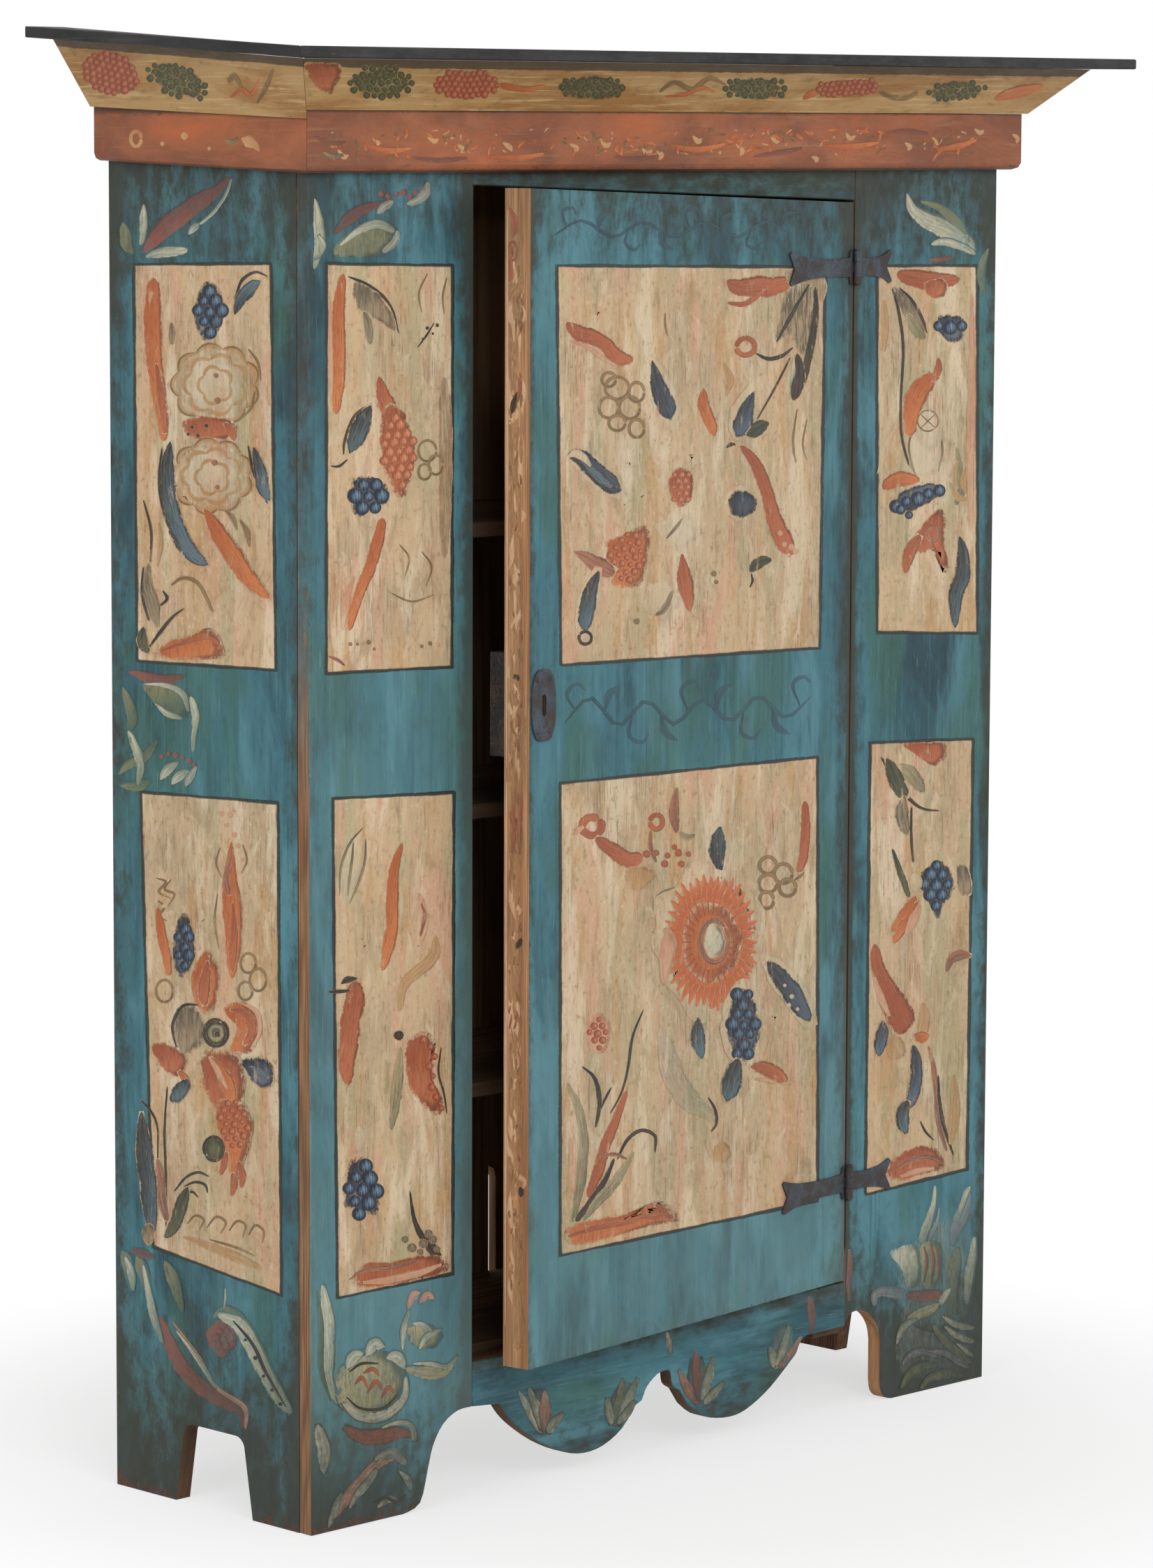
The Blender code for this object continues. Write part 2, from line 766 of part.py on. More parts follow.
def leaf_outline(length, direction, knuckles, height):
    """A hinge leaf as (x, z): knuckle tabs, a narrow neck, then a forked, flared end."""
    start = barrel_radius + 2 * knuckle_gap
    neck = hinge_neck / 2
    half = hinge_tall / 2
    fork = leaf_fork
    upper = smooth_curve([(start + 0.006, neck), (length * 0.35, neck * 0.92),
                          (length * 0.72, neck * 1.15), (length - fork * 0.4, half)], 4)
    end = [(length, half * 0.86), (length - fork, 0.0), (length, -half * 0.86)]
    lower = [(x, -z) for x, z in reversed(upper)]
    outer = upper + end + lower
    tabs = []
    for low, high in knuckles:
        low += tab_inset
        high -= tab_inset
        tabs += [(start, low), (0.0, low), (0.0, high), (start, high)]
    shoulder = start + 0.004
    outline = [(start, -half)] + tabs + [(start, half), (shoulder, half)] + outer + [(shoulder, -half)]
    return [(direction * x, height + z) for x, z in outline]


def barrel(name, radius, low, high, finish, parent, segments=20):
    outline = arc((0.0, 0.0), radius, 0, 360 * (segments - 1) / segments, segments - 1)
    return prism(name, outline, "z", low, high, finish, parent)


def make_leaf(name, length, direction, knuckles, height, parent):
    """A leaf with its own knuckles, bored for the pin."""
    near = door_face - fit_gap
    outline = leaf_outline(length, direction, knuckles, height)
    leaf = prism(name, outline, "y", near - leaf_thickness, near, "wrought_iron", parent)
    for k, (low, high) in enumerate(knuckles):
        combine(leaf, barrel(f"{name}_knuckle_{k}", barrel_radius, height + low, height + high,
                             None, parent), "UNION")
    bore = barrel(f"{name}_bore", pin_radius + pin_clearance, height - hinge_tall, height + hinge_tall,
                  None, parent)
    combine(leaf, bore, "DIFFERENCE")


def make_hinges(axis):
    """Two butterfly hinges laid on the face, each on a loose pin."""
    case_axis = bpy.data.objects.new("case_hinge_axis", None)
    case_axis.location = (axis_x, axis_y, 0.0)
    bpy.context.scene.collection.objects.link(case_axis)
    half = hinge_tall / 2
    third = hinge_tall / 6
    middle = [(-third + knuckle_gap / 2, third - knuckle_gap / 2)]
    outer = [(-half, -third - knuckle_gap / 2), (third + knuckle_gap / 2, half)]
    for word, height, stile_length in zip(hinge_names, hinge_heights, stile_leaf_lengths):
        make_leaf(f"hinge_leaf_door_{word}", door_leaf_length, -1, middle, height, axis)
        make_leaf(f"hinge_leaf_stile_{word}", stile_length, 1, outer, height, case_axis)
        make_pin(f"hinge_pin_{word}", height, case_axis)


def make_pin(name, height, parent):
    """A pin with a flat head above and a burred end below."""
    half = hinge_tall / 2 + fit_gap
    steps = [(-half - pin_head_height, pin_head_radius * 0.8), (-half, pin_head_radius * 0.8),
             (-half, pin_radius), (half, pin_radius), (half, pin_head_radius),
             (half + pin_head_height, pin_head_radius)]
    sections = []
    for z, radius in steps:
        sections.append([(x, y, height + z) for x, y in arc((0.0, 0.0), radius, 0, 342, 19)])
    loft(name, sections, "wrought_iron", parent)


def make_door():
    axis = make_door_axis()
    make_door_boards(axis)
    make_battens(axis)
    make_key_plate(axis)
    make_lock(axis)
    make_hinges(axis)


clear_scene()
make_carcass()
make_cornice()
make_door()
make_keeper()
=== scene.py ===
import json
import math

import bpy
import numpy as np
from mathutils import Matrix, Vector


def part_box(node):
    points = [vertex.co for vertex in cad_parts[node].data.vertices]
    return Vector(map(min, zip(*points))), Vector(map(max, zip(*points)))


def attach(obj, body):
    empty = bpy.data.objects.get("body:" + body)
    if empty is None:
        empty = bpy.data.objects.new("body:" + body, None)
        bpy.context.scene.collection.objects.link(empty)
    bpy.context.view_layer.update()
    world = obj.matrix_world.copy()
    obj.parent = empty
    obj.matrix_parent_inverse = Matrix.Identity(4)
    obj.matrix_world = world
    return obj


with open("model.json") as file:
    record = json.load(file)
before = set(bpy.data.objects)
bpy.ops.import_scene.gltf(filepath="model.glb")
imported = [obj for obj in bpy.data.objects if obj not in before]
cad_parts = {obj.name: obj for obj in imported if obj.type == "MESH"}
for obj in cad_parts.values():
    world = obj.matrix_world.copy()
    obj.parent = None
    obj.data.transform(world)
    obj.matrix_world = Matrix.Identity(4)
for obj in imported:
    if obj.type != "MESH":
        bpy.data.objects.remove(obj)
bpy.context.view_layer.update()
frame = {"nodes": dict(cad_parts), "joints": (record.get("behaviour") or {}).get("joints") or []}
print("stage: frame loaded")


# Camera, fitted to the case's corners. Pixels are those of the 1652 x 2247 photograph.

cameraDesign = {
    "place": (-4.89111, -4.84406, 1.65466),  # metres, in the cupboard's frame
    "turn": -0.78491,  # radians about z; 0 looks along +y
    "dip": -0.11866,  # radians, below the horizon
    "roll": 0.00340,
    "focalPixels": 7937.1,
    "photoWide": 1652,
    "photoTall": 2247,
    "sensor": 36.0,
}


def addObject(name, data):
    thing = bpy.data.objects.new(name, data)
    bpy.context.scene.collection.objects.link(thing)
    return thing


# Stands a camera or lamp at a place, with its x, y and z along the three directions
def standAt(thing, place, *directions):
    turned = Matrix(directions).transposed().to_4x4()
    turned.translation = place
    thing.matrix_world = turned


# Right, up and forward of the camera: a level heading, tipped by the dip, then rolled
def cameraAxes(turn, dip, roll):
    level = np.array([-math.sin(turn), math.cos(turn), 0.0])
    right = np.array([math.cos(turn), math.sin(turn), 0.0])
    rise = np.array([0.0, 0.0, 1.0])
    forward = level * math.cos(dip) + rise * math.sin(dip)
    up = -level * math.sin(dip) + rise * math.cos(dip)
    return (right * math.cos(roll) + up * math.sin(roll),
            up * math.cos(roll) - right * math.sin(roll), forward)


def makeCamera(design):
    right, up, forward = cameraAxes(design["turn"], design["dip"], design["roll"])
    data = bpy.data.cameras.new("photoCamera")
    data.sensor_width = design["sensor"]
    data.lens = design["sensor"] * design["focalPixels"] / design["photoTall"]
    camera = addObject("photoCamera", data)
    standAt(camera, design["place"], right, up, -forward)
    bpy.context.scene.camera = camera


makeCamera(cameraDesign)
print("stage: camera")


# Node helpers: each adds to a tree, and most give back a socket

def addNode(tree, kind, sockets, **settings):
    node = tree.nodes.new("ShaderNode" + kind)
    for name, value in settings.items():
        setattr(node, name, value)
    for name, value in sockets.items():
        if isinstance(value, bpy.types.NodeSocket):
            tree.links.new(value, node.inputs[name])
        else:
            node.inputs[name].default_value = value
    return node


def calc(tree, operation, first, second=0.0, third=0.0):
    return addNode(tree, "Math", {0: first, 1: second, 2: third}, operation=operation).outputs[0]


# A smooth step: low where the value is at start, high where it is at end
def fade(tree, value, start, end, low=0.0, high=1.0):
    sockets = {"Value": value, "From Min": start, "From Max": end, "To Min": low, "To Max": high}
    return addNode(tree, "MapRange", sockets, interpolation_type="SMOOTHSTEP").outputs[0]


def mixPaint(tree, factor, first, second):
    sockets = {0: factor, 6: first, 7: second}
    return addNode(tree, "Mix", sockets, data_type="RGBA").outputs[2]


def mixValue(tree, factor, first, second):
    return addNode(tree, "Mix", {0: factor, 2: first, 3: second}).outputs[0]


# Fractal noise over a place stretched by three numbers: large numbers make it fine
def grain(tree, place, stretch, detail=4.0, rough=0.55, twist=0.0):
    stretched = addNode(tree, "VectorMath", {0: place, 1: stretch}, operation="MULTIPLY").outputs[0]
    sockets = {"Vector": stretched, "Scale": 1.0, "Detail": detail, "Roughness": rough,
               "Distortion": twist}
    return addNode(tree, "TexNoise", sockets).outputs[0]


def shifted(tree, place, offset):
    return addNode(tree, "VectorMath", {0: place, 1: offset}, operation="ADD").outputs[0]


def objectPlace(tree):
    return addNode(tree, "TexCoord", {}).outputs["Object"]


# A colour from its red, green and blue out of 255, as a painter reads them off a chart
def shade(red, green, blue):
    channels = np.array((red, green, blue)) / 255
    linear = np.where(channels <= 0.04045, channels / 12.92, ((channels + 0.055) / 1.055) ** 2.4)
    return (*linear.tolist(), 1.0)


# A paint is a group that reads a place, whose z runs along the grain, and some amounts
def startGroup(name, *amounts):
    tree = bpy.data.node_groups.new(name, "ShaderNodeTree")
    inputs = {"Place": "Vector", **dict.fromkeys(amounts, "Float")}
    outputs = {"Color": "Color", "Roughness": "Float", "Height": "Float"}
    for way, sockets in {"INPUT": inputs, "OUTPUT": outputs}.items():
        for socket, kind in sockets.items():
            tree.interface.new_socket(socket, in_out=way, socket_type="NodeSocket" + kind)
    return tree, tree.nodes.new("NodeGroupInput").outputs


def endGroup(tree, colour, roughness, height):
    result = tree.nodes.new("NodeGroupOutput")
    for name, socket in {"Color": colour, "Roughness": roughness, "Height": height}.items():
        tree.links.new(socket, result.inputs[name])
    return tree


def useGroup(tree, group, sockets):
    return tuple(addNode(tree, "Group", sockets, node_tree=group).outputs)


def startMaterial(name):
    material = bpy.data.materials.new(name)
    material.use_nodes = True
    material.node_tree.nodes.clear()
    return material, material.node_tree


def endMaterial(tree, colour, roughness, height, bump=0.0006, **constants):
    lifted = addNode(tree, "Bump", {"Height": height, "Distance": bump, "Strength": 1.0})
    shader = addNode(tree, "BsdfPrincipled", {"Base Color": colour, "Roughness": roughness,
                                              "Normal": lifted.outputs[0]})
    for name, value in constants.items():
        shader.inputs[name.replace("_", " ")].default_value = value
    output = addNode(tree, "OutputMaterial", {})
    tree.links.new(shader.outputs[0], output.inputs[0])


# The painted and bare surfaces. A design's patterns are noises: stretch, detail, roughness,
# twist and offset. Its coats are laid in turn: pattern, where the coat starts and where it is
# full, how much of it, and its colour. Its dirt adds to the grime and painted shade given:
# pattern, from, to, and how much there. Its gloss is the pattern that the roughness follows,
# rough from and to

def makePatterns(tree, place, design):
    patterns = {}
    for name, (stretch, detail, rough, *more) in design["patterns"].items():
        twist, offset = (*more, 0.0)[0], more[1:]
        there = shifted(tree, place, *offset) if offset else place
        patterns[name] = grain(tree, there, stretch, detail, rough, twist)
    return patterns


def layCoats(tree, colour, design, patterns):
    for pattern, start, full, amount, name in design["coats"]:
        coat = fade(tree, patterns[pattern], start, full, 0.0, amount)
        colour = mixPaint(tree, coat, colour, design["colours"][name])
    return colour


def addMasks(tree, total, patterns, masks):
    for pattern, start, end, low, high in masks:
        total = calc(tree, "ADD", total, fade(tree, patterns[pattern], start, end, low, high))
    return total


# Darkens a paint by its dirt patterns and by the grime-and-shade amount, which is partly painted
# shade
def soilAndShadePaint(tree, colour, design, patterns, grimeAndShade):
    start, full, amount = design["soiledAndShaded"]
    darkShare = fade(tree, addMasks(tree, grimeAndShade, patterns, design["dirt"]), start, full, 0.0, amount)
    return mixPaint(tree, darkShare, colour, design["colours"]["grimeAndShade"])


def gloss(tree, design, patterns):
    pattern, low, high = design["gloss"]
    return fade(tree, patterns[pattern], 0.3, 0.7, low, high)


blueDesign = {
    "colours": {"deep": shade(34, 62, 70), "middle": shade(58, 103, 113),
                "light": shade(82, 129, 139), "green": shade(55, 92, 81),
                "grimeAndShade": shade(50, 52, 43), "chalk": shade(112, 146, 146),
                "bare": shade(84, 54, 40)},
    "patterns": {"patches": ((5, 5, 2.6), 5, 0.62, 0.7),
                 "broad": ((14, 14, 3.4), 4, 0.6, 0.4, (4, 9, 2)),
                 "greener": ((8, 8, 3.2), 4, 0.6, 0.0, (1, 3, 7)),
                 "brushed": ((120, 120, 4.5), 5, 0.65, 0.3), "hairs": ((480, 480, 22), 3, 0.6),
                 "mottled": ((52, 52, 34), 6, 0.72), "flakes": ((210, 210, 120), 5, 0.75)},
    "coats": [("patches", 0.38, 0.56, 1.0, "middle"), ("broad", 0.47, 0.64, 0.8, "light"),
              ("greener", 0.48, 0.64, 0.7, "green"), ("brushed", 0.52, 0.7, 0.3, "light"),
              ("brushed", 0.47, 0.3, 0.45, "deep"), ("mottled", 0.45, 0.28, 0.4, "deep")],
    "rubbedShare": 0.5,  # how chalky the high brush lines are
    "dirt": [("mottled", 0.3, 0.72, -0.3, 0.34), ("broad", 0.6, 0.35, -0.06, 0.16)],
    "soiledAndShaded": (0.06, 1.0, 0.92),
    "chips": [("brushed", 0.3, 0.7, -0.06, 0.06)],
    "chipped": (0.68, 0.75),
    "chippedShare": 0.9,
    "gloss": ("mottled", 0.5, 0.74),
}


# Blue-green paint: broad patches of three blues, brushed along the grain, rubbed chalky,
# darkened where the grime-and-shade amount is high, for dirt and as painted shade, and chipped
# to the wood where Wear is high
def makeBluePaint(design):
    tree, given = startGroup("bluePaint", "GrimeAndShade", "Wear")
    patterns = makePatterns(tree, given["Place"], design)
    brushed, hairs, mottled = (patterns[name] for name in ("brushed", "hairs", "mottled"))
    colour = layCoats(tree, design["colours"]["deep"], design, patterns)
    rubbed = calc(tree, "MULTIPLY", fade(tree, hairs, 0.54, 0.7), fade(tree, mottled, 0.46, 0.62))
    rubbed = calc(tree, "MULTIPLY", rubbed, design["rubbedShare"])
    colour = mixPaint(tree, rubbed, colour, design["colours"]["chalk"])
    colour = soilAndShadePaint(tree, colour, design, patterns, given["GrimeAndShade"])
    worn = calc(tree, "ADD", patterns["flakes"], calc(tree, "MULTIPLY", given["Wear"], 0.45))
    chipped = fade(tree, addMasks(tree, worn, patterns, design["chips"]), *design["chipped"])
    bared = calc(tree, "MULTIPLY", chipped, design["chippedShare"])
    colour = mixPaint(tree, bared, colour, design["colours"]["bare"])
    height = calc(tree, "MULTIPLY_ADD", brushed, 0.7, calc(tree, "MULTIPLY", chipped, -0.5))
    height = calc(tree, "MULTIPLY_ADD", hairs, 0.25, height)
    return endGroup(tree, colour, gloss(tree, design, patterns), height)


washGrain = ((22, 22, 4.5), 5, 0.62, 0.5)
creamDesign = {
    "colours": {"warm": shade(190, 163, 128), "cool": shade(174, 152, 120),
                "pink": shade(196, 150, 122), "ochre": shade(176, 136, 88),
                "green": shade(162, 152, 116), "pale": shade(212, 194, 166),
                "brown": shade(134, 102, 72), "grimeAndShade": shade(90, 72, 54)},
    "patterns": {"patches": ((10, 10, 5), 5, 0.6, 0.6), "brushed": ((95, 95, 9), 5, 0.68, 0.4),
                 "hairs": ((420, 420, 30), 3, 0.6), "specks": ((150, 150, 105), 5, 0.72),
                 "pinkWash": (*washGrain, (2, 5, 1)), "ochreWash": (*washGrain, (6, 2, 9)),
                 "greenWash": (*washGrain, (7, 1, 4)), "paleWash": (*washGrain, (3, 8, 6)),
                 "stained": ((17, 17, 11), 6, 0.72, 0.6, (5, 5, 2))},
    "coats": [("patches", 0.4, 0.58, 1.0, "warm"), ("pinkWash", 0.51, 0.64, 0.75, "pink"),
              ("ochreWash", 0.51, 0.64, 0.6, "ochre"), ("greenWash", 0.51, 0.64, 0.65, "green"),
              ("paleWash", 0.51, 0.64, 0.65, "pale"), ("brushed", 0.55, 0.72, 0.35, "pale"),
              ("brushed", 0.46, 0.3, 0.42, "brown"), ("specks", 0.46, 0.32, 0.6, "brown"),
              ("specks", 0.55, 0.7, 0.5, "pale"), ("stained", 0.55, 0.72, 0.42, "brown")],
    "crazedShare": 0.5,  # how dark the fine dirty lines are
    "gloss": ("patches", 0.52, 0.7),
}


# Cream ground: warm and cool patches, washes of pink, ochre and green that run down the
# grain, pale and brown brush lines over them, and fine dirty crazing
def makeCreamPaint(design):
    tree, given = startGroup("creamPaint")
    patterns = makePatterns(tree, given["Place"], design)
    patches, brushed, hairs = (patterns[name] for name in ("patches", "brushed", "hairs"))
    colour = layCoats(tree, design["colours"]["cool"], design, patterns)
    darkShare = calc(tree, "MULTIPLY", fade(tree, hairs, 0.54, 0.68), fade(tree, patches, 0.62, 0.4))
    darkShare = calc(tree, "MULTIPLY", darkShare, design["crazedShare"])
    colour = mixPaint(tree, darkShare, colour, design["colours"]["grimeAndShade"])
    height = calc(tree, "MULTIPLY_ADD", brushed, 0.6, calc(tree, "MULTIPLY", hairs, 0.4))
    return endGroup(tree, colour, gloss(tree, design, patterns), height)


brickDesign = {
    "colours": {"deep": shade(122, 74, 52), "base": shade(150, 90, 60),
                "bright": shade(182, 98, 56), "dusty": shade(158, 112, 78),
                "grimeAndShade": shade(70, 50, 40)},
    "patterns": {"patches": ((14, 14, 6), 5, 0.6, 0.5), "brushed": ((160, 160, 8), 5, 0.65),
                 "mottled": ((70, 70, 34), 6, 0.7), "specks": ((240, 240, 150), 4, 0.7)},
    "coats": [("patches", 0.36, 0.6, 1.0, "base"), ("patches", 0.56, 0.74, 0.7, "bright"),
              ("brushed", 0.54, 0.74, 0.55, "dusty"), ("mottled", 0.58, 0.72, 0.4, "bright")],
    "dirt": [("specks", 0.54, 0.72, 0.0, 0.5), ("mottled", 0.45, 0.3, 0.0, 0.35)],
    "soiledAndShaded": (0.1, 1.0, 0.9),
    "gloss": ("mottled", 0.5, 0.7),
}
bandDesign = {
    "colours": {"ochre": shade(150, 108, 60), "base": shade(174, 140, 92),
                "pale": shade(200, 172, 124), "green": shade(134, 118, 74),
                "grimeAndShade": shade(70, 58, 42)},
    "patterns": {"patches": ((16, 16, 5), 5, 0.6, 0.4), "brushed": ((180, 180, 9), 5, 0.65),
                 "mottled": ((80, 80, 40), 6, 0.7)},
    "coats": [("patches", 0.38, 0.6, 1.0, "base"), ("brushed", 0.5, 0.7, 0.7, "pale"),
              ("mottled", 0.56, 0.72, 0.4, "green")],
    "dirt": [("mottled", 0.3, 0.7, -0.15, 0.45)],
    "soiledAndShaded": (0.2, 0.9, 0.9),
    "gloss": ("mottled", 0.5, 0.68),
}


# Brick-red frieze and ochre-cream cornice paint: patches, streaked along the board, dusty or
# greenish in places, and darker where the grime-and-shade amount is high: dirt, and painted
# shadow lines along the frieze
def makeTrimPaint(name, design, first, speckles):
    tree, given = startGroup(name, "GrimeAndShade")
    patterns = makePatterns(tree, given["Place"], design)
    colour = layCoats(tree, design["colours"][first], design, patterns)
    colour = soilAndShadePaint(tree, colour, design, patterns, given["GrimeAndShade"])
    height = calc(tree, "MULTIPLY_ADD", patterns["brushed"], 0.7, patterns[speckles])
    return endGroup(tree, colour, gloss(tree, design, patterns), height)


darkDesign = {
    "colours": {"deep": shade(22, 23, 24), "base": shade(38, 38, 37), "dusty": shade(66, 62, 56),
                "bare": shade(108, 82, 58)},
    "patterns": {"patches": ((11, 11, 4), 5, 0.6, 0.4), "brushed": ((170, 170, 7), 5, 0.65),
                 "mottled": ((90, 90, 40), 6, 0.7)},
    "coats": [("patches", 0.38, 0.62, 1.0, "base"), ("brushed", 0.55, 0.76, 0.55, "dusty")],
    "wornShare": 0.8,
    "gloss": ("mottled", 0.46, 0.68),
}


# Dark grey paint, dusty along the brush and worn to brown wood where Wear is high
def makeDarkPaint(design):
    tree, given = startGroup("darkPaint", "Wear")
    patterns = makePatterns(tree, given["Place"], design)
    mottled = patterns["mottled"]
    colour = layCoats(tree, design["colours"]["deep"], design, patterns)
    worn = fade(tree, calc(tree, "MULTIPLY_ADD", given["Wear"], 0.4, mottled), 0.66, 0.8)
    worn = calc(tree, "MULTIPLY", worn, design["wornShare"])
    colour = mixPaint(tree, worn, colour, design["colours"]["bare"])
    height = calc(tree, "MULTIPLY_ADD", patterns["brushed"], 0.7, mottled)
    return endGroup(tree, colour, gloss(tree, design, patterns), height)


pineDesign = {
    "colours": {"early": shade(170, 130, 94), "late": shade(128, 88, 58),
                "grey": shade(128, 112, 92), "knot": shade(74, 48, 32), "grimeAndShade": shade(64, 50, 40)},
    "patterns": {"swell": ((7, 7, 0.45), 3, 0.5, 0.6), "fibres": ((480, 480, 8), 4, 0.6),
                 "patches": ((5, 5, 2), 4, 0.6, 0.0, (3, 8, 5))},
    "rings": 15.0,  # growth lines over the swell
    "coats": [("lines", 0.16, 0.5, 0.8, "late"), ("fibres", 0.42, 0.68, 0.5, "grey"),
              ("patches", 0.45, 0.68, 0.55, "grey"), ("knots", 0.16, 0.05, 0.75, "knot")],
    "knotSpacing": (9, 9, 2.1),
    "dirt": [("fibres", 0.3, 0.7, -0.2, 0.2)],
    "soiledAndShaded": (0.1, 0.9, 0.85),
    "gloss": ("fibres", 0.66, 0.82),
}
edgeWoodDesign = {**pineDesign, "colours": {
    "early": shade(182, 136, 96), "late": shade(146, 96, 60), "grey": shade(168, 130, 96),
    "knot": shade(60, 38, 26), "grimeAndShade": shade(60, 42, 30)}}


# Old pine: wavy growth lines are bands of a stretched noise, greyed and dirtied in patches,
# and darkened by the grime-and-shade amount, which on inner pieces is painted shade
def makePine(name, design):
    tree, given = startGroup(name, "GrimeAndShade")
    patterns = makePatterns(tree, given["Place"], design)
    swell = calc(tree, "MULTIPLY", patterns["swell"], design["rings"])
    lines = calc(tree, "PINGPONG", swell, 0.5)
    knots = addNode(tree, "VectorMath", {0: given["Place"], 1: design["knotSpacing"]},
                    operation="MULTIPLY").outputs[0]
    knots = addNode(tree, "TexVoronoi", {"Vector": knots, "Scale": 1.0}).outputs["Distance"]
    patterns = {**patterns, "lines": lines, "knots": knots}
    colour = layCoats(tree, design["colours"]["early"], design, patterns)
    colour = soilAndShadePaint(tree, colour, design, patterns, given["GrimeAndShade"])
    height = calc(tree, "MULTIPLY_ADD", lines, -0.5, patterns["fibres"])
    return endGroup(tree, colour, gloss(tree, design, patterns), height)


bluePaint = makeBluePaint(blueDesign)
creamPaint = makeCreamPaint(creamDesign)
brickPaint = makeTrimPaint("brickPaint", brickDesign, "deep", "specks")
bandPaint = makeTrimPaint("bandPaint", bandDesign, "ochre", "mottled")
darkPaint = makeDarkPaint(darkDesign)
oldPine = makePine("oldPine", pineDesign)
edgeWood = makePine("edgeWood", edgeWoodDesign)
print("stage: paints")




# The planes that carry paint, each with a point on it and its outward normal

surfaceDesign = {
    "doorAjar": math.radians(7.5),
    "doorReach": 0.6635,  # metres from the pin to the lock edge
    "friezeReach": 0.0223,  # metres out from the case's faces
    "corniceFootReach": 0.028,
    "corniceTopReach": 0.085,
    "corniceFootHeight": (1.6693, 1.6728),  # at the front corner and at the back
    "corniceSideFootHeight": (1.6593, 1.6728),
    "corniceSideTopHeight": (1.7265, 1.7525),
    "corniceTopHeight": 1.7265,
    "corniceSideStart": -0.198,  # the depth that the side bands' rise is counted from
    "rounds": 6,  # of finding a ruled board's plane
}
leftX = float(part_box("side_board_left")[0][0])
rightX = float(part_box("side_board_right")[1][0])
frontY = float(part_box("front_stile_left")[0][1])
backY = float(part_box("side_board_left")[1][1])
hingeJoint = next(joint for joint in frame["joints"] if joint["name"] == "door_hinge")
hingePlace = np.array(hingeJoint["pos_m"], float)
doorAjar = surfaceDesign["doorAjar"]
doorAcross = np.array([math.cos(doorAjar), math.sin(doorAjar), 0.0])  # lock edge towards hinge
doorOut = np.array([math.sin(doorAjar), -math.cos(doorAjar), 0.0])
pinProud = frontY - float(hingePlace[1])


# Where the sight lines through photo pixels meet a plane: eye + ray * (gap / ray along normal)
def sightLines(pixels):
    design = cameraDesign
    right, up, forward = cameraAxes(design["turn"], design["dip"], design["roll"])
    pixels = np.asarray(pixels, float).reshape(-1, 2)
    across = (pixels[:, 0] - design["photoWide"] / 2) / design["focalPixels"]
    down = (pixels[:, 1] - design["photoTall"] / 2) / design["focalPixels"]
    return np.array(design["place"]), forward + across[:, None] * right - down[:, None] * up


def makePlane(point, normal):
    normal = np.asarray(normal, float)
    return {"point": np.asarray(point, float), "normal": normal / np.linalg.norm(normal)}


def makeRuled(foot, top):
    return {"foot": np.array(foot, float), "top": np.array(top, float)}


# A ruled board runs between a foot line and a top line: its plane at a depth y is the one
# through both lines' points there, found again at each pixel's own depth in a few rounds
def pixelsOnSurface(pixels, surface):
    eye, rays = sightLines(pixels)
    if "normal" in surface:
        normals = np.broadcast_to(surface["normal"], rays.shape)
        points = np.broadcast_to(surface["point"], rays.shape)
        reach = ((points - eye) * normals).sum(1) / (rays * normals).sum(1)
        return eye + rays * reach[:, None], normals
    foot, top = surface["foot"], surface["top"]
    depth = np.zeros(len(rays))
    for turn in range(surfaceDesign["rounds"]):
        run = foot[1] - foot[0]
        low = foot[0] + run * ((depth - foot[0][1]) / run[1])[:, None]
        high = top[0] + (top[1] - top[0]) * ((depth - top[0][1]) / (top[1] - top[0])[1])[:, None]
        normals = np.cross(foot[1] - foot[0] + top[1] - top[0], high - low)
        normals /= np.linalg.norm(normals, axis=1)[:, None]
        normals *= np.sign((normals * (eye - low)).sum(1))[:, None]
        reach = ((low - eye) * normals).sum(1) / (rays * normals).sum(1)
        hits = eye + rays * reach[:, None]
        depth = hits[:, 1]
    return hits, normals


def makeSurfaces(design):
    friezeOut, footOut, topOut = (design[key] for key in
                                  ("friezeReach", "corniceFootReach", "corniceTopReach"))
    sideFoot, sideTop = design["corniceSideFootHeight"], design["corniceSideTopHeight"]
    slope = (design["corniceTopHeight"] - design["corniceFootHeight"][0]) / (topOut - footOut)
    return {
        "front": makePlane((0, frontY, 0), (0, -1, 0)),
        "side": makePlane((leftX, 0, 0), (-1, 0, 0)),
        "door": makePlane(hingePlace - doorOut * pinProud, doorOut),
        "friezeFront": makePlane((0, frontY - friezeOut, 0), (0, -1, 0)),
        "friezeSide": makePlane((leftX - friezeOut, 0, 0), (-1, 0, 0)),
        "doorEdge": makePlane(hingePlace - doorAcross * design["doorReach"], -doorAcross),
        "corniceFront": makePlane((0, frontY - footOut, design["corniceFootHeight"][0]),
                                  (0, -slope, -1)),
        "corniceSide": makeRuled(
            ((leftX - footOut, frontY - footOut, sideFoot[0]),
             (leftX - footOut, backY, sideFoot[1])),
            ((leftX - topOut, frontY - topOut, sideTop[0]), (leftX - topOut, backY, sideTop[1]))),
    }


surfaces = makeSurfaces(surfaceDesign)
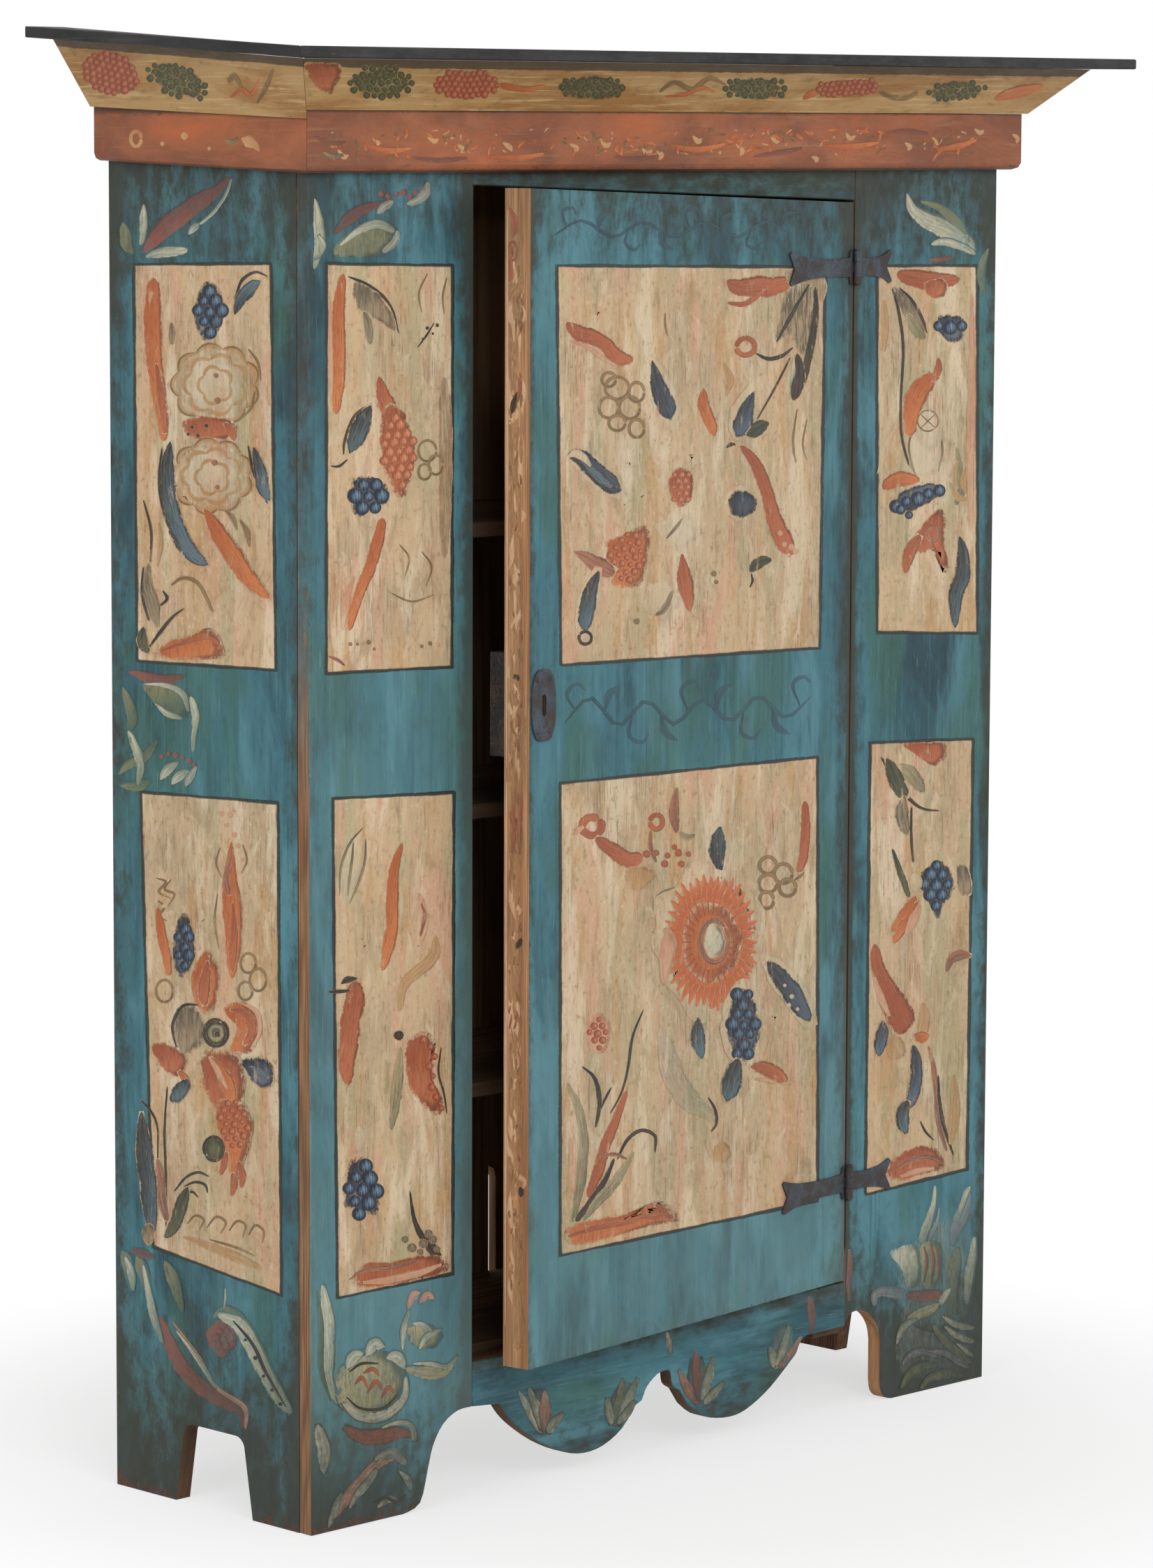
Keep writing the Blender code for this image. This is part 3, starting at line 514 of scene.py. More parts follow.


# Finishes of the boards. Each mask is (axis, full at, none at, amount), in metres;
# the door's axes are its own: x from the hinge, y from the pin, z up. The grime-and-shade
# masks darken the paint: at the feet for dirt; near the top, painted shade under the frieze
# and cornice; along the door opening, the door's edges and the apron's top, painted shade
# in the gaps. The cornice's dark band along its top is paint

boardDesign = {
    "sideLeft": {"nodes": ["side_board_left"], "out": (-1, 0, 0), "along": "z", "paint": "blue",
                 # painted shade towards the top under the frieze and cornice; dirt towards the foot
                 "grimeAndShade": [(2, 1.62, 1.34, 0.75), (2, 0.0, 0.34, 0.95), (1, backY, 0.19, 0.6),
                           (1, -0.092, -0.06, 0.5)],
                 "wear": [(2, 0.0, 0.03, 0.5), (1, backY, 0.225, 0.3)], "edgeDark": 1.15},
    "sideRight": {"nodes": ["side_board_right"], "out": (1, 0, 0), "along": "z", "paint": "blue",
                  # painted shade towards the top under the frieze and cornice; dirt towards the
                  # foot
                  "grimeAndShade": [(2, 1.62, 1.36, 0.6), (2, 0.0, 0.3, 0.6), (1, backY, 0.18, 0.5)],
                  "wear": [(2, 0.0, 0.02, 0.3), (1, backY, 0.23, 0.3)], "edgeDark": 0.7},
    "stileLeft": {"nodes": ["front_stile_left"], "out": (0, -1, 0), "along": "z", "paint": "blue",
                  # painted shade towards the top under the frieze and beside the door opening; dirt
                  # at the foot
                  "grimeAndShade": [(2, 1.62, 1.4, 0.5), (2, 0.0, 0.24, 0.95), (0, -0.339, -0.38, 1.0),
                            (0, leftX, -0.585, 0.35)],
                  "wear": [(2, 0.0, 0.03, 0.5), (0, leftX, -0.5995, 0.2)],
                  "faded": [(2, 0.3, 1.5, 0.42), (2, 0.0, 0.22, -0.42)],
                  "bleed": (2, 1.15, 0.85, 0.95), "edgeDark": 0.6},
    "stileRight": {"nodes": ["front_stile_right"], "out": (0, -1, 0), "along": "z",
                   "paint": "blue",
                   # painted shade towards the top under the frieze and in a dark line beside the
                   # door
                   "grimeAndShade": [(2, 1.62, 1.36, 0.8), (2, 0.0, 0.3, 1.15), (0, 0.33, 0.346, 0.5),
                             (0, rightX, 0.565, 0.8), (0, 0.33, 0.38, 0.4), (0, 0.33, 0.338, 1.4)],
                   # painted shade: the cut edge beside the door made darker above the foot
                   "gapShade": [(2, 0.24, 0.2, 2.0)],
                   "wear": [(2, 0.0, 0.02, 0.3), (0, rightX, 0.5995, 0.3)], "edgeDark": 0.25},
    "rail": {"nodes": ["front_rail"], "out": (0, -1, 0), "along": "x", "paint": "blue",
             # painted shade under the frieze: the rail darkened towards its top
             "grimeAndShade": [(2, 1.66, 1.5, 1.3)]},
    "apron": {"nodes": ["front_apron"], "out": (0, -1, 0), "along": "x", "paint": "blue",
              # painted shade along the apron's top in the gap under the door; dirt at its foot
              "grimeAndShade": [(2, 0.17, 0.13, 0.8), (2, 0.0, 0.12, 0.8)],
              "wear": [(2, 0.168, 0.163, 0.3)], "edgeDark": 1.3},
    "door": {"nodes": ["door_board_lock", "door_board_middle", "door_board_hinge"],
             "out": tuple(doorOut), "along": "z", "paint": "blue", "hung": True,
             # painted shade: darker at its top under the rail, and in dark lines along its edges
             "grimeAndShade": [(2, 1.6, 1.4, 0.6), (2, 0.17, 0.22, 0.3), (0, 0.0, -0.045, 0.8),
                       (0, -0.002, -0.01, 1.4), (0, -0.664, -0.645, 0.6)],
             "wear": [(2, 0.171, 0.178, 0.3), (0, -0.664, -0.658, 0.4), (0, 0.0, -0.006, 0.3)],
             "faded": [(2, 0.2, 0.8, 0.34)], "edgeDark": 0.4, "apart": True,
             "keyhole": (-0.637, 0.006, 0.978)},
    # painted shadow lines: each frieze darkened along its top under the cornice's lip and along its
    # bottom edge
    "friezeFrontPaint": {"nodes": ["frieze_front"], "out": (0, -1, 0), "along": "x",
                         "paint": "brick", "grimeAndShade": [(2, 1.672, 1.664, 1.1), (2, 1.6, 1.606, 0.6)]},
    "friezeLeftPaint": {"nodes": ["frieze_left"], "out": (-1, 0, 0), "along": "y",
                        "paint": "brick", "grimeAndShade": [(2, 1.672, 1.658, 1.1), (2, 1.6, 1.606, 0.6)]},
    "friezeRightPaint": {"nodes": ["frieze_right"], "out": (1, 0, 0), "along": "y",
                         "paint": "brick", "grimeAndShade": [(2, 1.672, 1.66, 1.1), (2, 1.6, 1.606, 0.6)]},
    "corniceFrontPaint": {"nodes": ["cornice_front"], "out": (0, -0.7, -0.7), "along": "x",
                          "paint": "band", "grimeAndShade": [(2, 1.7195, 1.7155, 1.6)]},
    "corniceLeftPaint": {"nodes": ["cornice_left"], "out": (-0.7, 0, -0.7), "along": "y",
                         "paint": "band", "grimeAndShade": [(2, 1.7195, 1.7155, 1.6)], "rise": 0.0594},
    "corniceRightPaint": {"nodes": ["cornice_right"], "out": (0.7, 0, -0.7), "along": "y",
                          "paint": "band", "grimeAndShade": [(2, 1.7195, 1.7155, 1.6)], "rise": 0.0137},
    "lidFrontPaint": {"nodes": ["lid_front"], "out": (0, 0, 0), "along": "x", "paint": "dark"},
    "lidSidePaint": {"nodes": ["lid_left", "lid_right"], "out": (0, 0, 0), "along": "y",
                     "paint": "dark"},
    "pineUpright": {"nodes": ["back_board_1", "back_board_2", "back_board_3", "back_board_4",
                              "back_board_5"],
                    "along": "z", "grimeAndShade": [(2, 0.0, 0.3, 0.4), (1, backY, 0.22, 0.25)],
                    "apart": True},
    # painted shade: the joint blocks, seen through the foot openings, darkened towards the floor
    "blockPine": {"nodes": ["joint_block_left", "joint_block_right"], "along": "z",
                  "grimeAndShade": [(2, 0.0, 0.4, 1.5)]},
    # painted shade: the shelves and other inner pieces darkened, most at the front, where they show
    # through the door gap
    "pineLong": {"nodes": ["case_bottom", "case_top", "shelf_lower", "shelf_middle",
                           "shelf_upper", "cornice_rail_back", "cornice_block_front_1",
                           "cornice_block_front_2", "cornice_block_front_3", "door_batten_bottom",
                           "door_batten_middle", "door_batten_top", "cornice_block_left",
                           "cornice_block_right"],
                 "along": "x", "grimeAndShade": [(1, -0.1, 0.16, 1.3), (1, 0.2, -0.1, 0.3)], "apart": True},
}
cutEdgeDirtAndShade = 0.4  # how dark the cut edges are: dirt, and painted shade where they lie in shadow


# A place with the board's length turned onto z
def turnedPlace(tree, place, along):
    turns = {"z": (0, 0, 0), "x": (0, math.pi / 2, 0), "y": (math.pi / 2, 0, 0)}
    return addNode(tree, "Mapping", {"Vector": place, "Rotation": turns[along]}).outputs[0]


# The place measured in the door's own axes: turned back by the angle that it stands ajar
def hungPlace(tree, place):
    back = Matrix.Rotation(-doorAjar, 3, "Z")
    moved = back @ Matrix.Translation(-hingePlace).translation
    return addNode(tree, "Mapping", {"Vector": place, "Rotation": (0, 0, -doorAjar),
                                     "Location": tuple(moved)}).outputs[0]


def sumMasks(tree, place, masks):
    parts = addNode(tree, "SeparateXYZ", {0: place}).outputs
    total = 0.0
    for axis, full, none, amount in masks:
        mask = fade(tree, parts[axis], full, none, amount, 0.0)
        total = mask if isinstance(total, float) else calc(tree, "ADD", total, mask)
    return total


# How squarely the surface faces a direction of the piece itself, as a 0 to 1 mask
def facing(tree, direction, start, end):
    normal = addNode(tree, "TexCoord", {}).outputs["Normal"]
    along = addNode(tree, "VectorMath", {0: normal, 1: direction}, operation="DOT_PRODUCT")
    return fade(tree, along.outputs["Value"], start, end)


def makeBoardFinish(name, design):
    material, tree = startMaterial(name)
    place = objectPlace(tree)
    measured = hungPlace(tree, place) if design.get("hung") else place
    if "rise" in design:  # the band's top line climbs to the back by this slope
        depth = addNode(tree, "SeparateXYZ", {0: place}).outputs[1]
        depth = calc(tree, "ADD", depth, -surfaceDesign["corniceSideStart"])
        drop = calc(tree, "MULTIPLY", depth, -design["rise"])
        lowered = addNode(tree, "CombineXYZ", {2: drop}).outputs[0]
        measured = addNode(tree, "VectorMath", {0: place, 1: lowered}, operation="ADD").outputs[0]
    turned = turnedPlace(tree, place, design["along"])
    plank = design.get("plank", 0)
    sawn = shifted(tree, turned, (1.7 * plank, 0.6 * plank, 2.3 * plank))
    grimeAndShade = sumMasks(tree, measured, design.get("grimeAndShade", []))
    if "paint" not in design:
        colour, roughness, height = useGroup(tree, oldPine, {"Place": sawn, "GrimeAndShade": grimeAndShade})
        endMaterial(tree, colour, roughness, height, 0.0007, Specular_IOR_Level=0.25)
        return material
    groups = {"blue": (bluePaint, {"GrimeAndShade": grimeAndShade}), "brick": (brickPaint, {"GrimeAndShade": grimeAndShade}),
              "band": (bandPaint, {"GrimeAndShade": grimeAndShade}), "dark": (darkPaint, {})}
    group, sockets = groups[design["paint"]]
    if design["paint"] in ("blue", "dark"):
        sockets["Wear"] = sumMasks(tree, measured, design.get("wear", []))
    colour, roughness, height = useGroup(tree, group, {"Place": turned, **sockets})
    if "faded" in design:  # paler in places, mixed towards chalk
        patchy = fade(tree, grain(tree, turned, (14, 14, 4), 5, 0.65), 0.3, 0.66, 0.5, 1.0)
        faded = calc(tree, "MULTIPLY", sumMasks(tree, measured, design["faded"]), patchy)
        colour = mixPaint(tree, faded, colour, blueDesign["colours"]["chalk"])
    if any(design["out"]):
        limits = (0.25, 0.7) if design["paint"] == "blue" else (-0.75, -0.4)
        painted = facing(tree, design["out"], *limits)
        if "bleed" in design:  # paint left on the edges too, in patches
            left = calc(tree, "MULTIPLY", sumMasks(tree, place, [design["bleed"]]),
                        fade(tree, grain(tree, place, (60, 60, 16), 5, 0.7), 0.3, 0.42))
            painted = calc(tree, "MAXIMUM", painted, left)
        # the bare cut edges darken: dirt, and painted shade where they lie in shadow, as in the
        # feet's cut-outs and the apron's scallops
        edgeDark = design.get("edgeDark", cutEdgeDirtAndShade)
        if "gapShade" in design:
            edgeDark = calc(tree, "ADD", sumMasks(tree, place, design["gapShade"]), edgeDark)
        if "keyhole" in design:  # painted shade: the bare wood inside the keyhole made dark, as deep in the hole
            away = addNode(tree, "VectorMath", {0: measured, 1: design["keyhole"]},
                           operation="DISTANCE")
            edgeDark = fade(tree, away.outputs["Value"], 0.018, 0.028, 2.0, edgeDark)
        bare, bareRough, bareHeight = useGroup(tree, edgeWood, {"Place": sawn, "GrimeAndShade": edgeDark})
        colour = mixPaint(tree, painted, bare, colour)
        roughness = mixValue(tree, painted, bareRough, roughness)
        height = mixValue(tree, painted, bareHeight, height)
    endMaterial(tree, colour, roughness, height, 0.0006, Specular_IOR_Level=0.3)
    return material


ironDesign = {
    "nodes": ["hinge_leaf_door_lower", "hinge_leaf_door_upper", "hinge_leaf_stile_lower",
              "hinge_leaf_stile_upper", "hinge_pin_lower", "hinge_pin_upper", "key_plate"],
    "inner": ["lock_case", "lock_bolt", "lock_keeper"],
    "black": shade(36, 40, 44),
    "blued": shade(52, 62, 72),
    "rust": shade(68, 55, 46),
    "worn": shade(74, 82, 88),
}


# Wrought iron: blued and black patches, rust in the hammer marks, the high spots rubbed
def makeIron(name, design):
    material, tree = startMaterial(name)
    place = objectPlace(tree)
    hammered = grain(tree, place, (95, 95, 95), 3, 0.5)
    patches = grain(tree, place, (34, 34, 34), 5, 0.6, 0.4)
    pits = grain(tree, place, (420, 420, 420), 5, 0.7)
    colour = mixPaint(tree, fade(tree, patches, 0.4, 0.62), design["black"], design["blued"])
    colour = mixPaint(tree, fade(tree, hammered, 0.56, 0.7, 0.0, 0.5), colour, design["worn"])
    rusty = calc(tree, "ADD", calc(tree, "MULTIPLY", pits, 0.5),
                 calc(tree, "MULTIPLY", patches, -0.4))
    colour = mixPaint(tree, fade(tree, rusty, 0.02, 0.13, 0.0, 0.85), colour, design["rust"])
    roughness = fade(tree, rusty, -0.02, 0.12, 0.42, 0.78)
    height = calc(tree, "MULTIPLY_ADD", pits, 0.35, hammered)
    endMaterial(tree, colour, roughness, height, 0.0012, Metallic=0.3)
    return material


def dressNodes(names, material):
    for name in names:
        mesh = frame["nodes"][name].data
        for slot in range(max(1, len(mesh.materials))):
            if slot < len(mesh.materials):
                mesh.materials[slot] = material
            else:
                mesh.materials.append(material)


for finishName, finish in boardDesign.items():
    if finish.get("apart"):  # each board cut from its own plank
        for number, node in enumerate(finish["nodes"]):
            plankFinish = {**finish, "plank": number}
            dressNodes([node], makeBoardFinish(f"{finishName}{number + 1}", plankFinish))
    else:
        dressNodes(finish["nodes"], makeBoardFinish(finishName, finish))
ironFinish = makeIron("hammeredIron", ironDesign)
dressNodes(ironDesign["nodes"], ironFinish)
# painted shade: the lock parts inside the case get a darker copy of the iron
shadedIronDesign = {**ironDesign, "black": shade(18, 16, 15), "blued": shade(30, 27, 25),
               "rust": shade(66, 46, 34), "worn": shade(58, 52, 46)}
dressNodes(ironDesign["inner"], makeIron("shadedInnerIron", shadedIronDesign))
print("stage: boards and iron")


# Painted decoration. Each motif is a thin film of paint: a grid worked out in photo pixels,
# carried onto the surface that it is painted on, and lifted by its layer

filmDesign = {
    "firstLift": 0.00008,  # metres above the board
    "liftStep": 0.00004,  # more for each film that it lies over
    "pathSteps": 26,
    "acrossSteps": 7,
    "blobSteps": 17,
    "outlineSteps": 160,
    "panelSteps": 44,
    "ringSteps": 13,
    "rayGrid": (4, 3),  # along and across
    "berrySteps": 6,
    "seedStep": 1.37,  # from one motif's unevenness to the next one's
    "pixelMetres": 0.001,  # rough size of a photo pixel on the cupboard
}


# A smooth curve through points: Catmull-Rom pieces, p(t) from four neighbours' cubic blend
def smoothPath(points, steps, closed=False):
    points = np.asarray(points, float)
    points = points.reshape(len(points), -1)
    if closed:
        knots = np.vstack((points[-1:], points, points[:2]))
        spans = len(points)
    else:
        knots = np.vstack((2 * points[:1] - points[1:2], points, 2 * points[-1:] - points[-2:-1]))
        spans = len(points) - 1
    where = np.linspace(0, spans, steps, endpoint=not closed)
    first = np.minimum(where.astype(int), spans - 1)
    t = (where - first)[:, None]
    a, b, c, d = (knots[first + shift] for shift in range(4))
    return 0.5 * (2 * b + (c - a) * t + (2 * a - 5 * b + 4 * c - d) * t ** 2
                  + (3 * b - a - 3 * c + d) * t ** 3)


# An uneven hand: a few sines of a running length, between -1 and 1
def handWaver(length, seed):
    return (np.sin(length * 0.11 + seed * 2.1) + np.sin(length * 0.27 + seed * 3.7) * 0.7
            + np.sin(length * 0.63 + seed * 5.3) * 0.5) / 2.2


# A smooth piece that rides a body, with its materials
def makePiece(name, points, quads, materials, body):
    mesh = bpy.data.meshes.new(name)
    mesh.from_pydata(points, [], quads)
    for material in materials:
        mesh.materials.append(material)
    mesh.polygons.foreach_set("use_smooth", np.ones(len(quads), bool))
    piece = addObject(name, mesh)
    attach(piece, body)
    return mesh


# Quads of a grid of rows by columns, each quad named by its four corners in turn
def gridQuads(rows, columns):
    corner = (np.arange(rows - 1)[:, None] * columns + np.arange(columns - 1)).reshape(-1)
    return np.stack((corner, corner + columns, corner + columns + 1, corner + 1), 1)


# One brush stroke: points are path(t) + side(t) * halfWidth(t) * v, for v from -1 to 1.
# Its edge value is the distance from the core: the larger of |v| and the nearness to an end
def strokeFilm(motif, seed):
    steps, across = motif.get("grid", (filmDesign["pathSteps"], filmDesign["acrossSteps"]))
    path = smoothPath(motif["path"], steps)
    half = np.atleast_1d(motif["half"]).astype(float)[:, None]
    half = smoothPath(half, steps)[:, 0] if len(half) > 1 else np.full(steps, half[0, 0])
    halfWidth = np.maximum(half, 0.4)
    heading = np.gradient(path, axis=0)
    heading /= np.maximum(np.linalg.norm(heading, axis=1), 1e-6)[:, None]
    side = np.stack((heading[:, 1], -heading[:, 0]), 1)
    run = np.concatenate(([0], np.cumsum(np.linalg.norm(np.diff(path, axis=0), axis=1))))
    v = np.linspace(-1, 1, across)
    uneven = 1 + 0.1 * np.stack([handWaver(run, seed + s) for s in (0.0, 4.0)], 1)
    sideways = np.where(v[None] < 0, uneven[:, :1], uneven[:, 1:]) * v * halfWidth[:, None]
    pixels = path[:, None] + side[:, None] * sideways[..., None]
    toEnd = np.minimum(run, run[-1] - run) / np.maximum(halfWidth.max(), 1.0)
    edge = np.hypot(np.broadcast_to(v, sideways.shape), np.clip(1 - toEnd, 0, 1)[:, None])
    tone = np.interp(run / run[-1], (0, 1), motif.get("tones", (0, 1)))
    tone = np.broadcast_to(tone[:, None], edge.shape)
    along = np.broadcast_to(run[:, None], edge.shape)
    brush = np.stack((sideways, along), 2)
    return pixels.reshape(-1, 2), gridQuads(steps, across), edge, tone, brush


# A square grid pulled round: x = u sqrt(1 - v v / 2) and the same for y give a disc of quads
def roundGrid(steps):
    u, v = np.meshgrid(np.linspace(-1, 1, steps), np.linspace(-1, 1, steps))
    return u * np.sqrt(1 - v ** 2 / 2), v * np.sqrt(1 - u ** 2 / 2)


# A filled shape: middle + disc radius times the outline's reach at that angle, notched by
# petals where it has them. Edge is the disc radius; tone runs down the shape or out from it
def blobFilm(motif, seed):
    steps = filmDesign["blobSteps"]
    x, y = roundGrid(steps)
    radius, angle = np.hypot(x, y), np.arctan2(y, x)
    middle = np.array(motif["at"], float)
    if "outline" in motif:
        ring = smoothPath(motif["outline"], filmDesign["outlineSteps"], closed=True) - middle
        order = np.argsort(np.arctan2(ring[:, 1], ring[:, 0]))
        reach = np.interp(angle, np.arctan2(ring[:, 1], ring[:, 0])[order],
                          np.hypot(ring[:, 0], ring[:, 1])[order], period=2 * math.pi)
    else:
        wide, tall = motif["half"]
        reach = wide * tall / np.hypot(tall * np.cos(angle), wide * np.sin(angle))
    petals, notch = motif.get("petals", (0, 0.0))
    reach = reach * motif.get("reach", 1)
    reach = reach * (1 + notch * np.cos(petals * angle + seed)
                     + 0.04 * np.sin(3 * angle + seed) + 0.03 * np.sin(7 * angle + seed * 2))
    turn = math.radians(motif.get("turn", 0))
    px, py = radius * reach * np.cos(angle + turn), radius * reach * np.sin(angle + turn)
    first, last = motif.get("tones", (0, 1))
    share = radius if motif.get("radial") else (y + 1) / 2
    tone = first + (last - first) * share
    pixels = np.stack((middle[0] + px, middle[1] + py), 2)
    return pixels.reshape(-1, 2), gridQuads(steps, steps), radius, tone, np.stack((px, py), 2)


# Berries: small discs on given places; tone runs from 1 in the middle to 0 at the rim
def berryFilm(motif, seed):
    steps = filmDesign["berrySteps"]
    x, y = roundGrid(steps)
    places = np.array(motif["at"], float).reshape(-1, 2)
    sizes = np.broadcast_to(np.asarray(motif["size"], float), len(places))
    uneven = 1 + 0.18 * np.sin(np.arange(len(places)) * 2.4 + seed)
    disc = np.stack((x, y), 2)[None] * (sizes * uneven)[:, None, None, None]
    pixels = places[:, None, None] + disc
    radius = np.broadcast_to(np.hypot(x, y), pixels.shape[:3])
    quads = gridQuads(steps, steps)[None] + (np.arange(len(places)) * steps * steps)[:, None, None]
    first, last = motif.get("tones", (0, 1))
    tone = last + (first - last) * radius ** 0.5
    return pixels.reshape(-1, 2), quads.reshape(-1, 4), radius, tone, disc


# Berries scattered in staggered rows inside an oval or a many-cornered outline
def bunchFilm(motif, seed):
    middle, half = np.array(motif["at"], float), np.array(motif["half"], float)
    gap = motif["size"] * motif.get("gap", 1.75)
    rows, columns = np.meshgrid(np.arange(-12, 13), np.arange(-12, 13), indexing="ij")
    spots = np.stack((columns * gap + (rows % 2) * gap / 2, rows * gap * 0.88), 2).reshape(-1, 2)
    turn = math.radians(motif.get("turn", 0))
    spots = spots[np.hypot(*(spots / np.maximum(half - motif["size"] * 0.5, 1)).T) <= 1]
    spots = spots + np.stack((np.sin(spots[:, 1] * 1.7 + seed), np.cos(spots[:, 0] * 1.3)), 1) * 1.2
    spots = spots @ np.array(((math.cos(turn), math.sin(turn)), (-math.sin(turn), math.cos(turn))))
    return berryFilm({**motif, "at": spots + middle}, seed)


# A ring: a closed circle path with the stroke's grid round it
def ringFilm(motif, seed):
    angle = np.linspace(0, 2 * math.pi, filmDesign["ringSteps"]) + seed
    wide, tall = motif["size"] if np.size(motif["size"]) > 1 else (motif["size"],) * 2
    x, y = motif["at"]
    path = np.stack((x + wide * np.cos(angle), y + tall * np.sin(angle)), 1)
    return strokeFilm({**motif, "path": path}, seed)


# Several strokes of the same brush in one film: each path's grid after the last one's
def strokesFilm(motif, seed):
    films = [strokeFilm({**motif, "path": path}, seed + turn)
             for turn, path in enumerate(motif["paths"])]
    pixels, quads, *others = zip(*films)
    quads = [faces + len(films[0][0]) * turn for turn, faces in enumerate(quads)]
    return (np.vstack(pixels), np.vstack(quads), *(np.concatenate(other) for other in others))


# Rays round a middle: at each angle a thin tapered strip from the inner reach to the outer
def raysFilm(motif, seed):
    angle = np.linspace(0, 2 * math.pi, motif["count"], endpoint=False)
    out = np.stack((np.cos(angle), np.sin(angle)), 1)[:, None]
    aside = np.stack((-np.sin(angle), np.cos(angle)), 1)[:, None, None]
    steps, across = filmDesign["rayGrid"]
    run, v = np.linspace(0, 1, steps), np.linspace(-1, 1, across)
    inner, outer = np.array(motif["inner"], float), np.array(motif["outer"], float)
    uneven = (1 + 0.09 * handWaver(angle * 37, seed))[:, None, None]
    lines = np.array(motif["at"], float) + out * (inner + (outer * uneven - inner) * run[:, None])
    taper = motif["half"] * (1 - 0.75 * run)
    pixels = lines[:, :, None] + aside * (taper[:, None] * v)[None, :, :, None]
    turns = np.arange(len(angle)) * steps * across
    quads = gridQuads(steps, across)[None] + turns[:, None, None]
    tone = np.broadcast_to(run[:, None], pixels.shape[:3])
    edge = np.maximum(np.abs(v), 0.9 * run[:, None] ** 2) + 0 * tone
    brush = np.stack((taper[:, None] * v + 0 * tone, tone * 20), 3)
    return pixels.reshape(-1, 2), quads.reshape(-1, 4), edge, tone, brush


# A panel: its four corners blended straight across, its sides wavering by less than a pixel.
# Edge runs to 1 over the last few pixels before a side, where the grid has lines of its own
def panelFilm(motif, seed):
    corners = np.array(motif["corners"], float)  # top left, top right, bottom right, bottom left
    middle = corners.mean(0)
    corners = corners + np.sign(corners - middle) * motif["margin"]
    size = np.abs(corners - middle).mean(0) * 2
    rim = motif["rim"] / size
    steps = filmDesign["panelSteps"]
    s, t = (np.r_[0, share / 2, np.linspace(share, 1 - share, steps - 4), 1 - share / 2, 1]
            for share in rim)
    s, t = (part[..., None] for part in np.meshgrid(s, t))
    pixels = ((1 - t) * ((1 - s) * corners[0] + s * corners[1])
              + t * ((1 - s) * corners[3] + s * corners[2]))
    x, y = pixels[..., 0], pixels[..., 1]
    pixels = pixels + np.stack((handWaver(y * 0.3, seed) * (s[..., 0] - 0.5) * 1.6,
                                handWaver(x * 0.3, seed + 2) * (t[..., 0] - 0.5) * 1.6), 2)
    away = np.minimum(np.minimum(s, 1 - s) * size[0], np.minimum(t, 1 - t) * size[1])[..., 0]
    edge = np.clip(1 - away / motif["rim"], 0, 1)
    return pixels.reshape(-1, 2), gridQuads(steps, steps), edge, edge, pixels - middle



# Short ways to write a motif down: its paint, its half width, then its points, x and y in
# turn, all in photo pixels

def numbers(text):
    return np.array(text.split(), float) if isinstance(text, str) else text


def pairs(text):
    return numbers(text).reshape(-1, 2)


def stroke(paint, half, path, tones=(0, 1)):
    return {"film": strokeFilm, "paint": paint, "half": numbers(half), "path": pairs(path),
            "tones": tones}


def strokes(paint, half, *paths, tones=(0, 1)):
    return {"film": strokesFilm, "paint": paint, "half": numbers(half),
            "paths": [pairs(path) for path in paths], "tones": tones}


def rays(paint, at, inner, outer, count, half):
    return {"film": raysFilm, "paint": paint, "at": at, "inner": inner, "outer": outer,
            "count": count, "half": half}


def blob(paint, at, half, **more):
    return {"film": blobFilm, "paint": paint, "at": at, "half": half, **more}


def patch(paint, at, outline, **more):
    return {"film": blobFilm, "paint": paint, "at": at, "outline": pairs(outline), **more}


def bunch(paint, at, half, size, **more):
    return {"film": bunchFilm, "paint": paint, "at": at, "half": half, "size": size, **more}


def berries(paint, size, places, **more):
    return {"film": berryFilm, "paint": paint, "size": size, "at": pairs(places), **more}


def ring(paint, at, size, half=1.8):
    return {"film": ringFilm, "paint": paint, "at": at, "size": size, "half": half}


# Rings of one brush: for each x, y, wide and tall, a closed circle of points
def rings(paint, half, *places):
    x, y, wide, tall = np.array(places, float).T[..., None]
    angle = np.linspace(0, 2 * math.pi, filmDesign["ringSteps"])
    return strokes(paint, half, *np.stack((x + wide * np.cos(angle), y + tall * np.sin(angle)), 2))


# Petal edges round a middle: each arc runs from one angle to the next, bulging half way
def scallops(paint, at, half, count, bulge=0.14, width=2.6):
    points = 7  # of each arc
    start = np.linspace(0, 2 * math.pi, count + 1)[:-1, None]
    angle = start + np.linspace(0, 2 * math.pi / count, points)
    reach = 1 + bulge * np.sin(np.linspace(0, math.pi, points))
    paths = np.array(at) + np.stack((np.cos(angle) * reach, np.sin(angle) * reach), 2) * half
    return {**strokes(paint, (width * 0.5, width, width * 0.5), *paths), "grid": (13, 5)}


def panel(paint, corners, margin=0, rim=6):
    return {"film": panelFilm, "paint": paint, "corners": corners, "margin": margin, "rim": rim}


# Small marks scattered between four corners, each a short wavering stroke leaning its own way
def flecks(paint, count, size, corners, seed, leaning=0.15, share=0.2):
    chance = np.random.default_rng(seed)
    corners = np.array(corners, float)
    s, t = chance.uniform(0.04, 0.96, (2, count, 1))
    middles = ((1 - t) * ((1 - s) * corners[0] + s * corners[1])
               + t * ((1 - s) * corners[3] + s * corners[2]))
    lean, long = chance.normal(0, leaning, count), size * chance.uniform(0.3, 1.4, count)
    along = np.stack((np.sin(lean) * long, np.cos(lean) * long), 1)
    paths = (middles[:, None] + np.linspace(-1, 1, 4)[:, None] * along[:, None]
             + chance.normal(0, size * share * 0.4, (count, 4, 2)))
    return {**strokes(paint, (0.7, size * share, 0.7), *paths), "grid": (9, 4)}


# Paints of the motifs. Start and end are the colours at tone 0 and 1; dark lies in the
# brush's furrows and down one side; cover is how much is left, dry how streaky the brush ran,
# outlined how dark both edges are, and skin the colour that berries lie on

def brushful(start, end, dark, **more):
    return {"start": shade(*start), "end": shade(*end), "dark": shade(*dark), **more}


